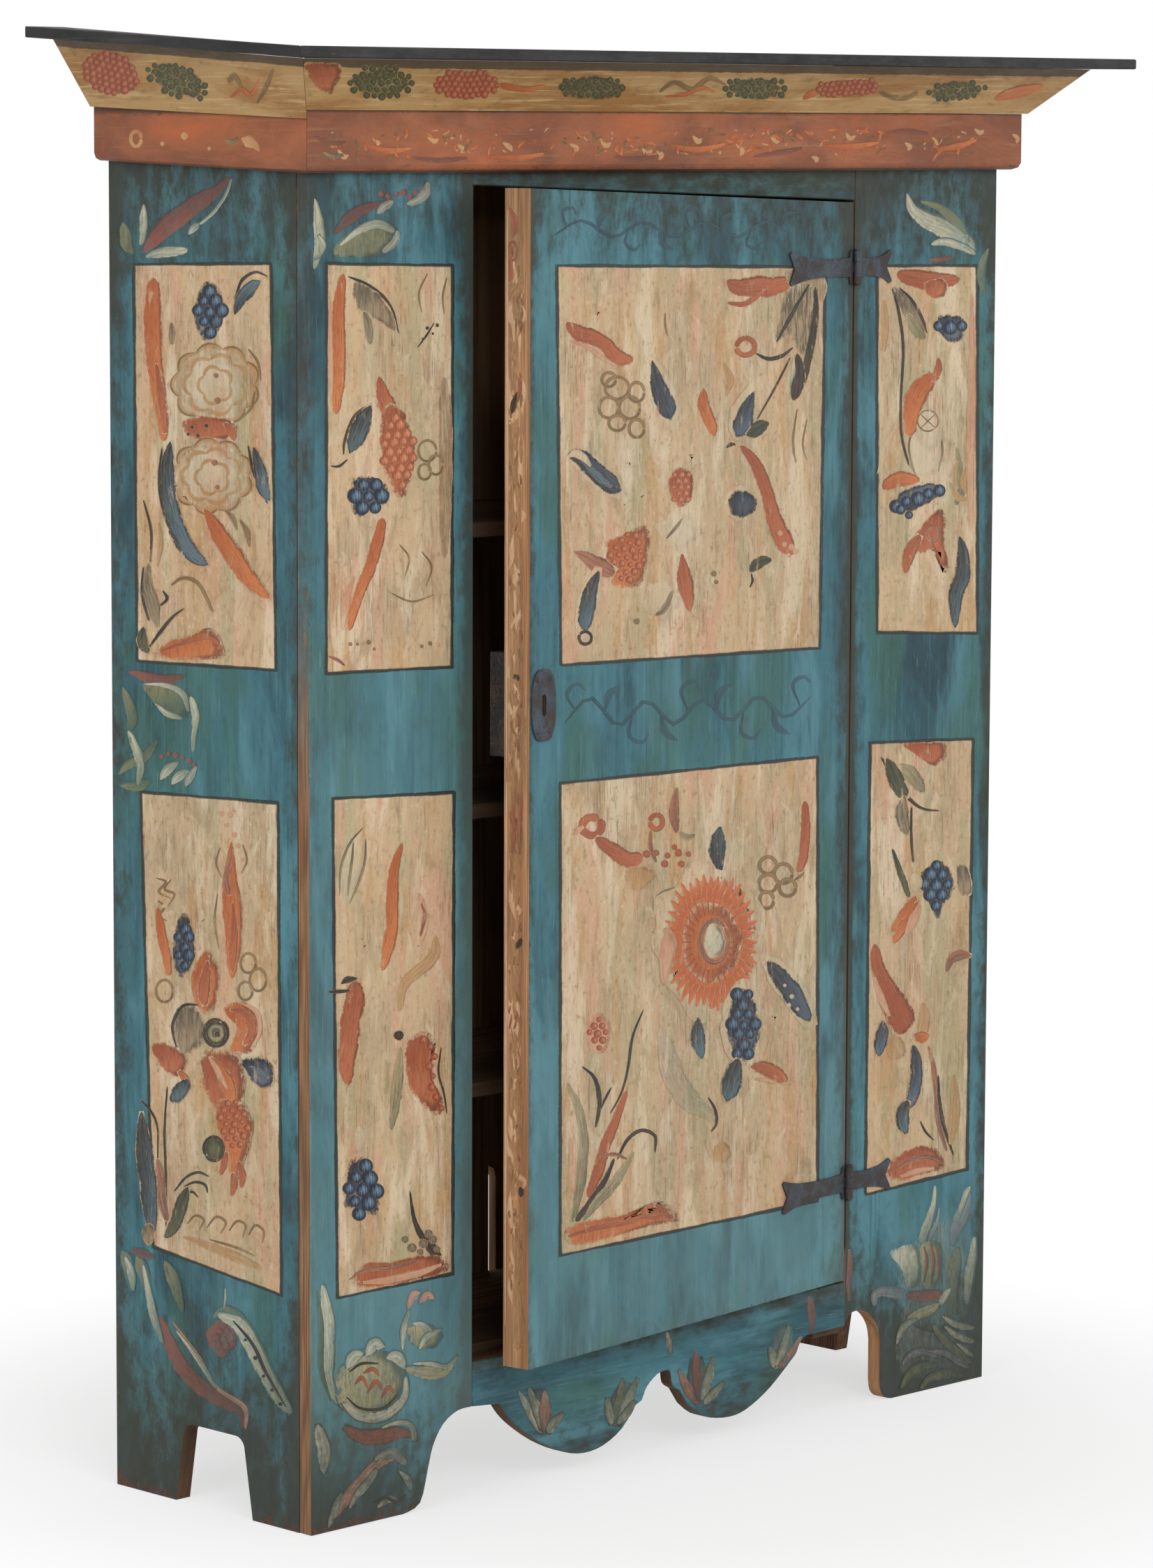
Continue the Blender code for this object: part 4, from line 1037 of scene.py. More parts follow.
strokePaints = {
    "coral": brushful((144, 74, 46), (170, 97, 64), (104, 52, 34)),
    "orange": brushful((162, 84, 44), (188, 112, 66), (112, 60, 36)),
    "petalOrange": brushful((172, 88, 50), (196, 112, 68), (146, 70, 42)),
    "straw": brushful((172, 162, 122), (126, 126, 90), (78, 80, 60), cover=0.92, dry=0.35),
    "lilac": brushful((152, 148, 146), (104, 106, 108), (70, 74, 76), cover=0.85, dry=0.4),
    "rose": brushful((184, 122, 94), (200, 152, 124), (146, 86, 64), cover=0.75, dry=0.3),
    "navy": brushful((38, 46, 56), (84, 98, 112), (26, 30, 36), outlined=0.9),
    "teal": brushful((36, 42, 44), (84, 106, 114), (28, 30, 32), outlined=0.8),
    "grape": brushful((18, 30, 46), (128, 156, 178), (22, 32, 46), skin=shade(26, 34, 46)),
    "coralBerry": brushful((132, 60, 38), (206, 142, 104), (148, 78, 52), skin=shade(142, 74, 50)),
    "dark": brushful((40, 35, 31), (58, 48, 38), (28, 25, 23)),
    "grey": brushful((70, 63, 52), (128, 112, 88), (50, 44, 38), cover=0.9, dry=0.3),
    "olive": brushful((98, 74, 42), (132, 102, 62), (72, 54, 34), cover=0.9, dry=0.2),
    "ochre": brushful((156, 112, 62), (166, 126, 78), (116, 78, 42), cover=0.75, dry=0.4),
    "green": brushful((44, 50, 38), (84, 86, 60), (34, 38, 30)),
    "pale": brushful((204, 190, 162), (182, 170, 144), (150, 138, 116), cover=0.5, dry=0.4),
    "bone": brushful((192, 186, 160), (124, 132, 112), (66, 76, 66), cover=0.95, dry=0.35),
    "moss": brushful((132, 126, 88), (80, 90, 66), (48, 56, 44), cover=0.85, dry=0.35),
    "brick": brushful((142, 80, 60), (102, 62, 52), (66, 42, 38), cover=0.92, dry=0.25),
    "pineGreen": brushful((46, 56, 36), (100, 104, 60), (34, 40, 28)),
    "crimson": brushful((128, 50, 40), (174, 84, 60), (92, 36, 30)),
    "fleck": brushful((200, 160, 112), (180, 130, 86), (144, 98, 68), cover=0.75),
    "shadow": brushful((34, 42, 40), (42, 48, 44), (28, 32, 32)),
    "ink": brushful((36, 54, 64), (56, 78, 88), (30, 44, 52), cover=0.85, dry=0.3),
    "stain": brushful((92, 68, 44), (112, 84, 54), (66, 48, 34), cover=0.6, dry=0.45),
    "dustyRose": brushful((186, 124, 92), (176, 138, 112), (140, 90, 66), cover=0.24, dry=0.7),
    "dustyOlive": brushful((118, 98, 58), (146, 124, 84), (84, 68, 44), cover=0.27, dry=0.7),
    "dustyPale": brushful((216, 200, 172), (196, 178, 148), (160, 140, 112), cover=0.36, dry=0.6),
    "mist": brushful((150, 152, 138), (112, 116, 98), (74, 78, 66), cover=0.5, dry=0.65),
    "hatched": brushful((62, 58, 48), (98, 90, 70), (44, 40, 34), cover=0.85, dry=0.7),
}
grounds = {
    "cream": (creamPaint, {}, "z"),
    "blue": (bluePaint, {}, "z"),
    "blueDirty": (bluePaint, {}, "z"),
    "brickLong": (brickPaint, {"GrimeAndShade": 0.1}, "x"),
    "brickDeep": (brickPaint, {"GrimeAndShade": 0.1}, "y"),
    "bandLong": (bandPaint, {"GrimeAndShade": 0.0}, "x"),
    "bandDeep": (bandPaint, {"GrimeAndShade": 0.0}, "y"),
    "edgeWood": (edgeWood, {"GrimeAndShade": 0.05}, "z"),
}


def attributeValue(tree, name):
    return addNode(tree, "Attribute", {}, attribute_name=name).outputs["Fac"]


# The film's colour runs from start to end by tone, furrowed along the brush; it thins out
# where the edge value plus an uneven noise nears 1, and there the ground shows through
def makeFilmMaterial(name, design, ground):
    material, tree = startMaterial(name)
    group, sockets, along = ground
    place = objectPlace(tree)
    if group == bluePaint:  # darkened at its height as the boards are: dirt near the foot, painted shade under the frieze near the top
        height = addNode(tree, "SeparateXYZ", {0: place}).outputs[2]
        soiledAndShaded = fade(tree, height, 0.3, 0.0, 0.0, 1.0)
        sockets = {"GrimeAndShade": calc(tree, "ADD", soiledAndShaded, fade(tree, height, 1.36, 1.62, 0.0, 0.65))}
    under, underRough, underHeight = useGroup(tree, group, {
        "Place": turnedPlace(tree, place, along), **sockets})
    if "skin" in design:  # berries lie on their bunch's dark skin
        under = mixPaint(tree, 0.85, under, design["skin"])
    brushPlace = addNode(tree, "UVMap", {}, uv_map="brushed").outputs[0]
    furrows = grain(tree, brushPlace, (620, 40, 1), 5, 0.65)
    streaks = grain(tree, shifted(tree, brushPlace, (3, 7, 0)), (330, 26, 1), 5, 0.7)
    edge, side = attributeValue(tree, "edge"), attributeValue(tree, "side")
    wobble = grain(tree, place, (120, 120, 120), 4, 0.65)
    crumbs = grain(tree, place, (460, 460, 300), 4, 0.7)
    tone = calc(tree, "ADD", attributeValue(tree, "tone"), fade(tree, furrows, 0.3, 0.7, -0.3, 0.3))
    tone = calc(tree, "MULTIPLY_ADD", side, 0.3, tone)  # a brush loaded twice
    colour = mixPaint(tree, fade(tree, tone, 0.0, 1.0), design["start"], design["end"])
    colour = mixPaint(tree, fade(tree, furrows, 0.46, 0.3, 0.0, 0.8), colour, design["dark"])
    colour = mixPaint(tree, fade(tree, wobble, 0.5, 0.72, 0.0, 0.35), colour, design["dark"])
    outlined = fade(tree, side, -0.2, 0.4, design.get("outlined", 0.0), 1.0)
    contour = calc(tree, "MULTIPLY", fade(tree, edge, 0.6, 0.84), outlined)
    colour = mixPaint(tree, calc(tree, "MULTIPLY", contour, 0.85), colour, design["dark"])
    thin = calc(tree, "MULTIPLY_ADD", wobble, 0.6, edge)
    thin = calc(tree, "MULTIPLY_ADD", crumbs, 0.5, thin)
    cover = fade(tree, thin, 1.6, 1.4, 0.0, design.get("cover", 1.0))
    dry = design.get("dry", 0.08)
    cover = calc(tree, "MULTIPLY", cover, fade(tree, streaks, 0.44, 0.56, 1.0, 1.0 - dry))
    rubbed = fade(tree, grain(tree, place, (85, 85, 30), 6, 0.7), 0.58, 0.7, 1.0, 0.4)
    cover = calc(tree, "MULTIPLY", cover, rubbed)
    # painted shade near the top and dirt near the foot, as on the boards
    if group == bluePaint:
        soiledAndShaded = calc(tree, "MULTIPLY", soiledAndShaded, fade(tree, wobble, 0.3, 0.6, 0.45, 0.75))
        colour = mixPaint(tree, soiledAndShaded, colour, blueDesign["colours"]["grimeAndShade"])
    colour = mixPaint(tree, cover, under, colour)
    roughness = mixValue(tree, cover, underRough, fade(tree, furrows, 0.3, 0.7, 0.45, 0.62))
    height = calc(tree, "ADD", mixValue(tree, cover, underHeight, furrows),
                  calc(tree, "MULTIPLY", cover, 0.5))
    endMaterial(tree, colour, roughness, height, 0.0005, Specular_IOR_Level=0.3)
    return material


# The cream panel: its ground, edged by a dark line that wavers with the hand
def makePanelMaterial(name, ground, line):
    material, tree = startMaterial(name)
    place = objectPlace(tree)
    under, underRough, height = useGroup(tree, ground, {"Place": place})
    wobble = grain(tree, place, (110, 110, 110), 4, 0.65)
    away = calc(tree, "MULTIPLY_ADD", wobble, 0.3, attributeValue(tree, "edge"))
    lined = fade(tree, away, 0.66, 0.98, 0.0, 0.95)
    colour = mixPaint(tree, lined, under, line)
    endMaterial(tree, colour, underRough, height, 0.0005, Specular_IOR_Level=0.3)
    return material


filmMaterials = {"cream": makePanelMaterial("creamPanel", creamPaint, shade(34, 38, 36))}


def filmMaterial(paint, groundName):
    key = paint if paint == "cream" else f"{paint}On{groundName[:1].upper()}{groundName[1:]}"
    if key not in filmMaterials:
        filmMaterials[key] = makeFilmMaterial(key, strokePaints[paint], grounds[groundName])
    return filmMaterials[key]


# One object for each painted face: all its films stacked in the order they were painted.
# Quads that would face the board are turned over
def makePainting(name, motifs, body, surface, ground, mirror=False):
    points, quads, edges, tones, sides, brushes = [], [], [], [], [], []
    paintIndex, paints, layers, count = [], [], [], 0
    for index, motif in enumerate(motifs.values()):
        pixels, faces, edge, tone, brush = motif["film"](motif, index * filmDesign["seedStep"])
        box = np.r_[pixels.min(0), -pixels.max(0)]  # its layer is one over any box it touches
        layer = 1 + max((under for other, under in layers if (box <= -np.roll(other, 2)).all()),
                        default=-1)
        layers.append((box, layer))
        places, normals = pixelsOnSurface(pixels, surfaces[motif.get("surface", surface)])
        within = np.linspace(0, 0.9, len(places))[:, None]  # so a film clears its own overlaps
        lift = filmDesign["firstLift"] + filmDesign["liftStep"] * (layer + within)
        places = places + normals * lift
        a, b, c = (places[faces[:, corner]] for corner in (0, 1, 2))
        turned = (np.cross(b - a, c - a) * normals[faces[:, 0]]).sum(1) < 0
        faces = np.where(turned[:, None] != mirror, faces[:, ::-1], faces) + count
        if mirror:
            places = places * (-1, 1, 1) + (leftX + rightX, 0, 0)
        count += len(places)
        material = filmMaterial(motif["paint"], motif.get("ground", ground))
        if material not in paints:
            paints.append(material)
        points.append(places)
        quads.append(faces)
        edges.append(np.ravel(edge))
        tones.append(np.ravel(tone))
        brush = brush.reshape(-1, 2)
        sides.append(brush[:, 0] / np.abs(brush[:, 0]).max())
        brushes.append(brush * filmDesign["pixelMetres"])
        paintIndex.append(np.full(len(faces), paints.index(material)))
    quads = np.vstack(quads)
    mesh = makePiece(name, np.vstack(points), quads, paints, body)
    for attribute, values in {"edge": edges, "tone": tones, "side": sides}.items():
        layer = mesh.attributes.new(attribute, "FLOAT", "POINT")
        layer.data.foreach_set("value", np.concatenate(values))
    brushMap = mesh.uv_layers.new(name="brushed")
    brushMap.uv.foreach_set("vector", np.vstack(brushes)[quads.ravel()].ravel())
    mesh.polygons.foreach_set("material_index", np.concatenate(paintIndex))
    mesh.update()


# A panel with its dark line, and the faint marks that lie under the motifs
def framed(corners):
    corners = np.array(corners, float)
    wide, tall = corners.max(0) - corners.min(0)
    count, seed = int(wide * tall / 3000), int(corners.sum())
    inner = corners + (corners.mean(0) - corners) * 0.16
    return {"panelLine": {**panel("shadow", corners, 3), "ground": "blue"},
            "panel": panel("cream", corners),
            "palerMarks": flecks("dustyPale", count // 2, 40, inner, seed),
            "rosyMarks": flecks("dustyRose", count // 3, 34, inner, seed + 1),
            "oliveMarks": flecks("dustyOlive", count // 3, 28, inner, seed + 2)}


sideUpper = {
    **framed(((192, 379), (388, 378), (395, 960), (197, 947))),
    "longOrangeStroke": stroke("orange", "9 13 12 10 6", "220 398 219 460 222 520 231 580 236 632"),
    "longStrokeHeart": stroke("coral", "2 6 5 3", "224 520 230 560 235 600 236 622"),
    "headLeafLine": stroke("dark", "1 2.5 2 1", "336 430 347 402 366 390 384 396"),
    "headLeaf": stroke("teal", "2 9 10 3", "336 452 346 428 360 412 374 402"),
    "greyTick": stroke("grey", "2 5 3", "246 462 247 478 246 494"),
    "grapeSkin": blob("navy", (300, 446), (23, 46), turn=4, reach=0.93),
    "grapes": bunch("grape", (300, 446), (23, 46), 9.5),
    "roseGround": blob("dustyOlive", (309, 551), (58, 54), petals=(9, 0.05)),
    "roseLight": blob("pale", (309, 551), (46, 42), petals=(7, 0.06)),
    "roseOuter": scallops("ochre", (309, 551), (54, 50), 9, width=4.5),
    "roseShade": scallops("olive", (309, 551), (56, 52), 9, width=1.4),
    "rosePetals": scallops("ochre", (309, 551), (38, 36), 7, 0.2, 3.4),
    "roseInner": scallops("ochre", (309, 552), (20, 22), 5, 0.24, 2.8),
    "roseDots": berries("brick", 4.2, "310 538 312 574"),
    "roseRight": strokes("olive", "1 2 1", "356 500 370 520 374 546", "366 560 360 584 346 600"),
    "bandStroke": patch("coral", (303, 613),
        "262 604 290 597 322 600 342 612 330 628 296 632 268 624"),
    "bandDots": berries("dark", 3, "276 612 284 624 296 610 270 622"),
    "bandRed": stroke("coral", "3 7 3", "322 606 332 618 336 632"),
    "secondRoseGround": blob("dustyOlive", (304, 682), (54, 50), petals=(9, 0.05)),
    "secondRoseLight": blob("pale", (304, 682), (44, 40), petals=(7, 0.06)),
    "secondRoseOuter": scallops("ochre", (304, 682), (50, 46), 9, width=4.5),
    "secondRoseShade": scallops("olive", (304, 682), (52, 48), 9, width=1.4),
    "secondRosePetals": scallops("ochre", (304, 682), (36, 33), 7, 0.2, 3.4),
    "secondRoseInner": scallops("ochre", (305, 684), (20, 20), 5, 0.24, 2.8),
    "secondRoseDots": berries("brick", 4.2, "308 663 312 698"),
    "rightLeafLine": stroke("dark", "1 2.5 1", "356 638 364 676 384 722"),
    "rightLeaf": stroke("teal", "2 9 9 3", "364 640 372 670 378 700 388 718"),
    "longBlueStroke": stroke("teal", "3 11 12 13 11 3",
        "245 632 240 672 242 712 256 762 278 796 300 810"),
    "longBlueLine": stroke("dark", "1 2.5 2 1", "233 640 229 690 238 742 262 792"),
    "slantStroke": stroke("orange", "3 11 14 12 4", "293 728 312 760 332 792 360 832 388 858"),
    "oliveSprig": stroke("olive", "1 4 1", "322 730 334 742 340 760"),
    "oliveSprigLow": stroke("olive", "1 4 1", "344 744 354 762 358 784"),
    "purpleLeaf": stroke("grey", "2 8 9 3", "214 806 212 838 220 868 226 898"),
    "purpleLeafLine": stroke("dark", "1 2 1.5", "206 812 204 850 214 890"),
    "stemHigh": stroke("dark", "1 2 1.2", "206 716 217 760 216 806"),
    "stemNext": stroke("ochre", "1 3 1", "228 748 231 780 226 812"),
    "stemFoot": stroke("green", "3 8 5", "206 898 204 918 214 936"),
    "brownCurve": stroke("dark", "1 2.5 2 1", "214 928 230 906 248 884 264 872"),
    "oliveLoop": stroke("olive", "1.5 2.5 2.5 1.5", "246 838 264 828 286 838 306 878"),
    "hook": stroke("dark", "1 2.5 1", "234 846 240 858 230 868"),
    "mound": patch("orange", (275, 926), "220 938 246 918 276 910 304 900 326 936 300 944 250 944"),
    "moundLine": stroke("coral", "1 3 3 1", "228 934 262 922 300 914 322 930"),
}

sideLower = {
    **framed(((202, 1135), (398, 1151), (403, 1856), (220, 1786))),
    "redSpecks": berries("rose", 3.5, "318 1166 326 1182 336 1196 342 1212 348 1232 330 1168"),
    "tallFlame": stroke("orange", "2 9 14 13 10 3",
        "332 1206 330 1248 332 1290 335 1330 334 1370 333 1404"),
    "flameHeart": stroke("coral", "1 5 6 2", "334 1292 336 1330 334 1364 333 1394"),
    "flameTip": stroke("brick", "1 4 5 2", "334 1218 328 1240 324 1262 330 1284", tones=(0, 0.5)),
    "flameCurls": strokes("olive", "0.8 1.6 0.8", "316 1214 310 1236 318 1258",
        "348 1210 354 1232 346 1252", "312 1280 308 1320 314 1360"),
    "squiggles": strokes("olive", "0.8 2 2 0.8", "224 1258 238 1264 228 1278 246 1288",
        "246 1260 236 1274 250 1282 240 1300", "226 1290 236 1300 228 1312 240 1320"),
    "leftStroke": stroke("orange", "3 7 7 4", "226 1300 231 1334 238 1366 243 1398"),
    "paleDots": berries("pale", 4, "236 1298 246 1308 256 1318 260 1334 248 1330"),
    "darkGrapeSkin": blob("navy", (264, 1357), (17, 50), turn=2, reach=0.93),
    "darkGrapes": bunch("grape", (264, 1357), (17, 50), 8.4, tones=(0, 0.8)),
    "petal": patch("orange", (294, 1410),
        "298 1360 312 1380 314 1412 306 1446 290 1452 276 1428 276 1394 286 1370"),
    "petalHeart": stroke("coral", "2 8 9 4", "298 1376 295 1400 292 1424 294 1442"),
    "oliveRings": rings("olive", 1.8, (356, 1380, 11, 14), (370, 1404, 12, 16), (352, 1420, 10, 13),
        (236, 1420, 12, 16)),
    "greyPetal": patch("grey", (268, 1474),
        "252 1450 276 1438 292 1456 290 1496 264 1512 248 1486"),
    "greyPetalLine": stroke("dark", "1 2.5 2.5 1", "286 1440 262 1442 248 1470 254 1504"),
    "eye": blob("green", (310, 1480), (18, 20), radial=True, tones=(1, 0)),
    "eyeRing": ring("dark", (310, 1480), (17, 19), 2.6),
    "eyeLight": ring("moss", (310, 1480), (9, 10), 2.4),
    "eyeDot": berries("dark", 4, "312 1482"),
    "crescent": patch("orange", (346, 1472),
        "322 1444 340 1434 364 1442 376 1466 372 1492 356 1508 332 1506 336 1490 340 1470 "
        "328 1458"),
    "crescentHeart": stroke("coral", "2 6 7 3", "330 1446 352 1452 362 1474 350 1498"),
    "crescentEdge": stroke("rose", "1 3 3 1", "344 1436 368 1450 373 1478 360 1503"),
    "redWedge": patch("coral", (242, 1518),
        "216 1498 240 1496 264 1508 268 1528 252 1544 232 1528"),
    "wedgeTail": stroke("orange", "3 6 3", "256 1534 266 1546 270 1560"),
    "lowPetal": patch("coral", (318, 1548),
        "290 1506 316 1504 340 1512 352 1546 350 1582 330 1592 308 1586 292 1556"),
    "lowPetalHeart": stroke("orange", "3 9 10 4", "302 1514 318 1536 330 1560 336 1584"),
    "lowPetalLight": stroke("rose", "2 4 2", "300 1514 314 1536 326 1560"),
    "berryGround": patch("orange", (334, 1620),
        "314 1580 346 1578 362 1604 358 1646 346 1684 334 1690 322 1650 312 1612"),
    "orangeBerries": bunch("coralBerry", (336, 1610), (24, 40), 5, gap=2.3, turn=-8,
        tones=(0.1, 1)),
    "tail": strokes("coral", "3 5 2", "326 1650 322 1668 316 1684", "342 1664 348 1684 346 1702",
        "334 1680 336 1698 332 1714"),
    "navyLeaf": patch("navy", (370, 1538),
        "344 1520 362 1514 386 1520 394 1540 386 1558 366 1554 354 1536"),
    "navyLeafLight": stroke("teal", "1 4 1", "360 1528 374 1536 386 1544", tones=(0.7, 1)),
    "tealLeaf": patch("teal", (258, 1562), "270 1544 272 1562 258 1580 244 1578 248 1558"),
    "longStem": stroke("dark", "1.2 1.8 1.8 1.2", "240 1556 236 1620 238 1690 238 1758"),
    "outerStem": stroke("dark", "1 2 1.5 1", "202 1576 216 1592 226 1616 226 1664"),
    "redBrownStroke": stroke("brick", "3 7 7 4", "226 1660 230 1690 232 1720 240 1750"),
    "oliveBerry": blob("green", (307, 1646), (15, 18), radial=True, tones=(1.2, 0)),
    "oliveBerryRing": ring("dark", (307, 1646), (14, 17), 2.4),
    "leafStem": strokes("dark", "1 2 2 1", "250 1707 266 1688 284 1680 300 1686",
        "264 1700 280 1694 294 1698 298 1710", "254 1728 262 1712 276 1708 284 1716"),
    "greenLeaf": stroke("green", "3 9 10 8 4", "270 1700 262 1720 256 1742 246 1762 236 1774"),
    "groundCurls": strokes("olive", "0.8 1.8 1.8 0.8", "268 1754 280 1742 292 1748 286 1762",
        "296 1760 310 1744 324 1752 316 1768", "328 1764 340 1750 352 1756 348 1774",
        "356 1770 366 1756 378 1764 376 1782", "300 1776 320 1782 340 1788 366 1800"),
    "groundShade": stroke("ochre", "2 6 7 3", "262 1772 300 1786 336 1800 376 1818"),
    "edgeLeaf": stroke("teal", "3 12 13 11 4", "203 1592 206 1640 212 1690 216 1735 218 1774",
        tones=(0, 0.6)),
    "purpleSpot": blob("grey", (213, 1768), (9, 16)),
}

stileLeftUpper = {
    **framed(((468, 378), (648, 381), (647, 955), (468, 965))),
    "longOrange": stroke("orange", "5 9 10 10 9 5",
        "492 392 486 430 485 475 486 520 484 560 481 594"),
    "longOrangeEdge": stroke("rose", "1 3 3 1", "473 420 473 480 474 540 474 584"),
    "hillLine": stroke("dark", "1 2.6 2.4 1.6 1", "498 396 522 406 548 424 563 446 571 478"),
    "hillShade": patch("grey", (534, 434), "506 404 536 416 560 446 566 474 540 458 512 440"),
    "greyLeaf": stroke("grey", "3 6 6 3", "521 446 527 462 529 480 530 494"),
    "dotBranch": stroke("dark", "0.8 1.5 0.8", "598 498 610 482 622 462"),
    "branchDots": berries("dark", 2.4, "612 470 620 478 626 466 606 486"),
    "washes": stroke("stain", "4 9 10 9 5", "636 540 638 600 638 700 636 800"),
    "twigs": strokes("olive", "0.8 1.6 0.8", "612 392 600 420 604 448", "640 398 634 424 636 450",
        "572 780 586 800 580 826", "604 790 618 812 610 840", "560 850 590 862 622 852"),
    "bunchStem": stroke("coral", "4 8 12 16", "542 538 546 556 552 574 560 592"),
    "bunchSkin": patch("coral", (568, 640),
        "556 578 578 588 592 630 594 672 580 712 566 706 548 668 544 620"),
    "bunchBerries": bunch("coralBerry", (571, 646), (25, 62), 7, gap=1.95, turn=-6, tones=(0.3, 1)),
    "tealLeafLine": stroke("dark", "1 2.4 2.2 1", "532 578 508 596 494 630 492 652"),
    "tealLeaf": stroke("teal", "3 12 14 11 3", "532 580 522 598 514 618 507 636 500 650",
        tones=(0, 0.7)),
    "smallTwig": stroke("dark", "1 2 1", "474 668 486 668 498 658"),
    "grapeSkin": patch("navy", (528, 710),
        "508 682 532 680 556 696 558 720 536 728 516 742 500 728 500 700", reach=0.93),
    "grapes": bunch("grape", (528, 710), (33, 34), 10.5),
    "rings": rings("olive", 1.8, (612, 646, 13, 15), (624, 666, 10, 14), (608, 676, 9, 11)),
    "slantOrange": stroke("orange", "6 9 9 8 7 4",
        "548 742 541 776 532 808 518 842 507 874 500 904"),
    "slantLight": stroke("rose", "2 5 5 2", "508 826 498 852 494 878 490 904"),
    "lowMarks": berries("olive", 3, "502 923 512 923 528 920 536 930 604 926 616 922"),
    "cornerLine": stroke("brick", "1 3 1", "470 940 484 946 494 954"),
}

stileLeftLower = {
    **framed(((477, 1145), (650, 1136), (648, 1824), (484, 1860))),
    "faintLeafPale": stroke("pale", "4 15 17 8", "516 1190 506 1224 498 1262 494 1298"),
    "faintLeaf": strokes("grey", "0.8 2 2 0.8", "520 1186 500 1210 488 1244 486 1284",
        "524 1200 522 1236 512 1268 500 1296", "506 1206 504 1232 500 1262 498 1284"),
    "tallOrange": stroke("orange", "3 7 9 9 9 4",
        "576 1208 566 1240 562 1282 562 1322 556 1358 547 1392"),
    "pinkTicks": stroke("rose", "3 6 6 3", "600 1280 606 1304 608 1326 602 1350"),
    "darkTicks": stroke("brick", "1.5 3 1.5", "603 1294 608 1312 602 1342"),
    "ochreWash": stroke("ochre", "3 9 8 3", "624 1340 620 1372 580 1410 572 1450", tones=(0, 1)),
    "coralLeft": stroke("coral", "10 15 15 14 12 6",
        "508 1404 508 1432 502 1466 499 1500 496 1530 499 1556"),
    "coralLeftCap": stroke("dark", "1 5 2", "488 1410 498 1404 512 1402"),
    "nailHole": stroke("dark", "1 3 2.4 1", "470 1421 482 1421 496 1420 502 1418"),
    "darkDot": berries("dark", 8, "571 1484"),
    "greenWash": stroke("moss", "3 8 8 3", "574 1500 570 1540 566 1580 560 1620"),
    "crescent": patch("coral", (602, 1536),
        "584 1492 604 1476 626 1490 620 1520 622 1550 638 1578 628 1600 604 1582 586 1556 "
        "580 1522"),
    "crescentBerries": berries("coralBerry", 5.5,
        "616 1500 622 1514 614 1528 620 1542 618 1558 624 1572 632 1588 606 1490"),
    "crescentLine": stroke("dark", "0.8 1.6 1.6 0.8", "632 1500 628 1536 636 1568 640 1596"),
    "paleLilac": stroke("pale", "4 9 4", "514 1612 516 1630 514 1650"),
    "grapeSkin": patch("navy", (518, 1702),
        "506 1656 520 1652 530 1664 540 1690 546 1730 540 1748 514 1736 492 1730 494 1700 "
        "498 1672", reach=0.93),
    "grapes": bunch("grape", (519, 1704), (28, 50), 10.6, turn=6, gap=1.85),
    "tree": stroke("dark", "1.2 3 5 8 5", "587 1706 592 1742 602 1768 618 1788 634 1812"),
    "treeLeaves": berries("grey", 6,
        "580 1776 590 1788 602 1794 614 1768 620 1776 626 1790 606 1782"),
    "mound": patch("coral", (570, 1820),
        "503 1834 520 1810 560 1808 600 1798 638 1800 638 1820 606 1832 560 1842 516 1844"),
    "moundLight": stroke("rose", "2 5 5 2", "520 1838 556 1834 600 1824 632 1812"),
    "moundDark": stroke("brick", "1 3 3 1", "500 1834 522 1820 560 1816 600 1808"),
}

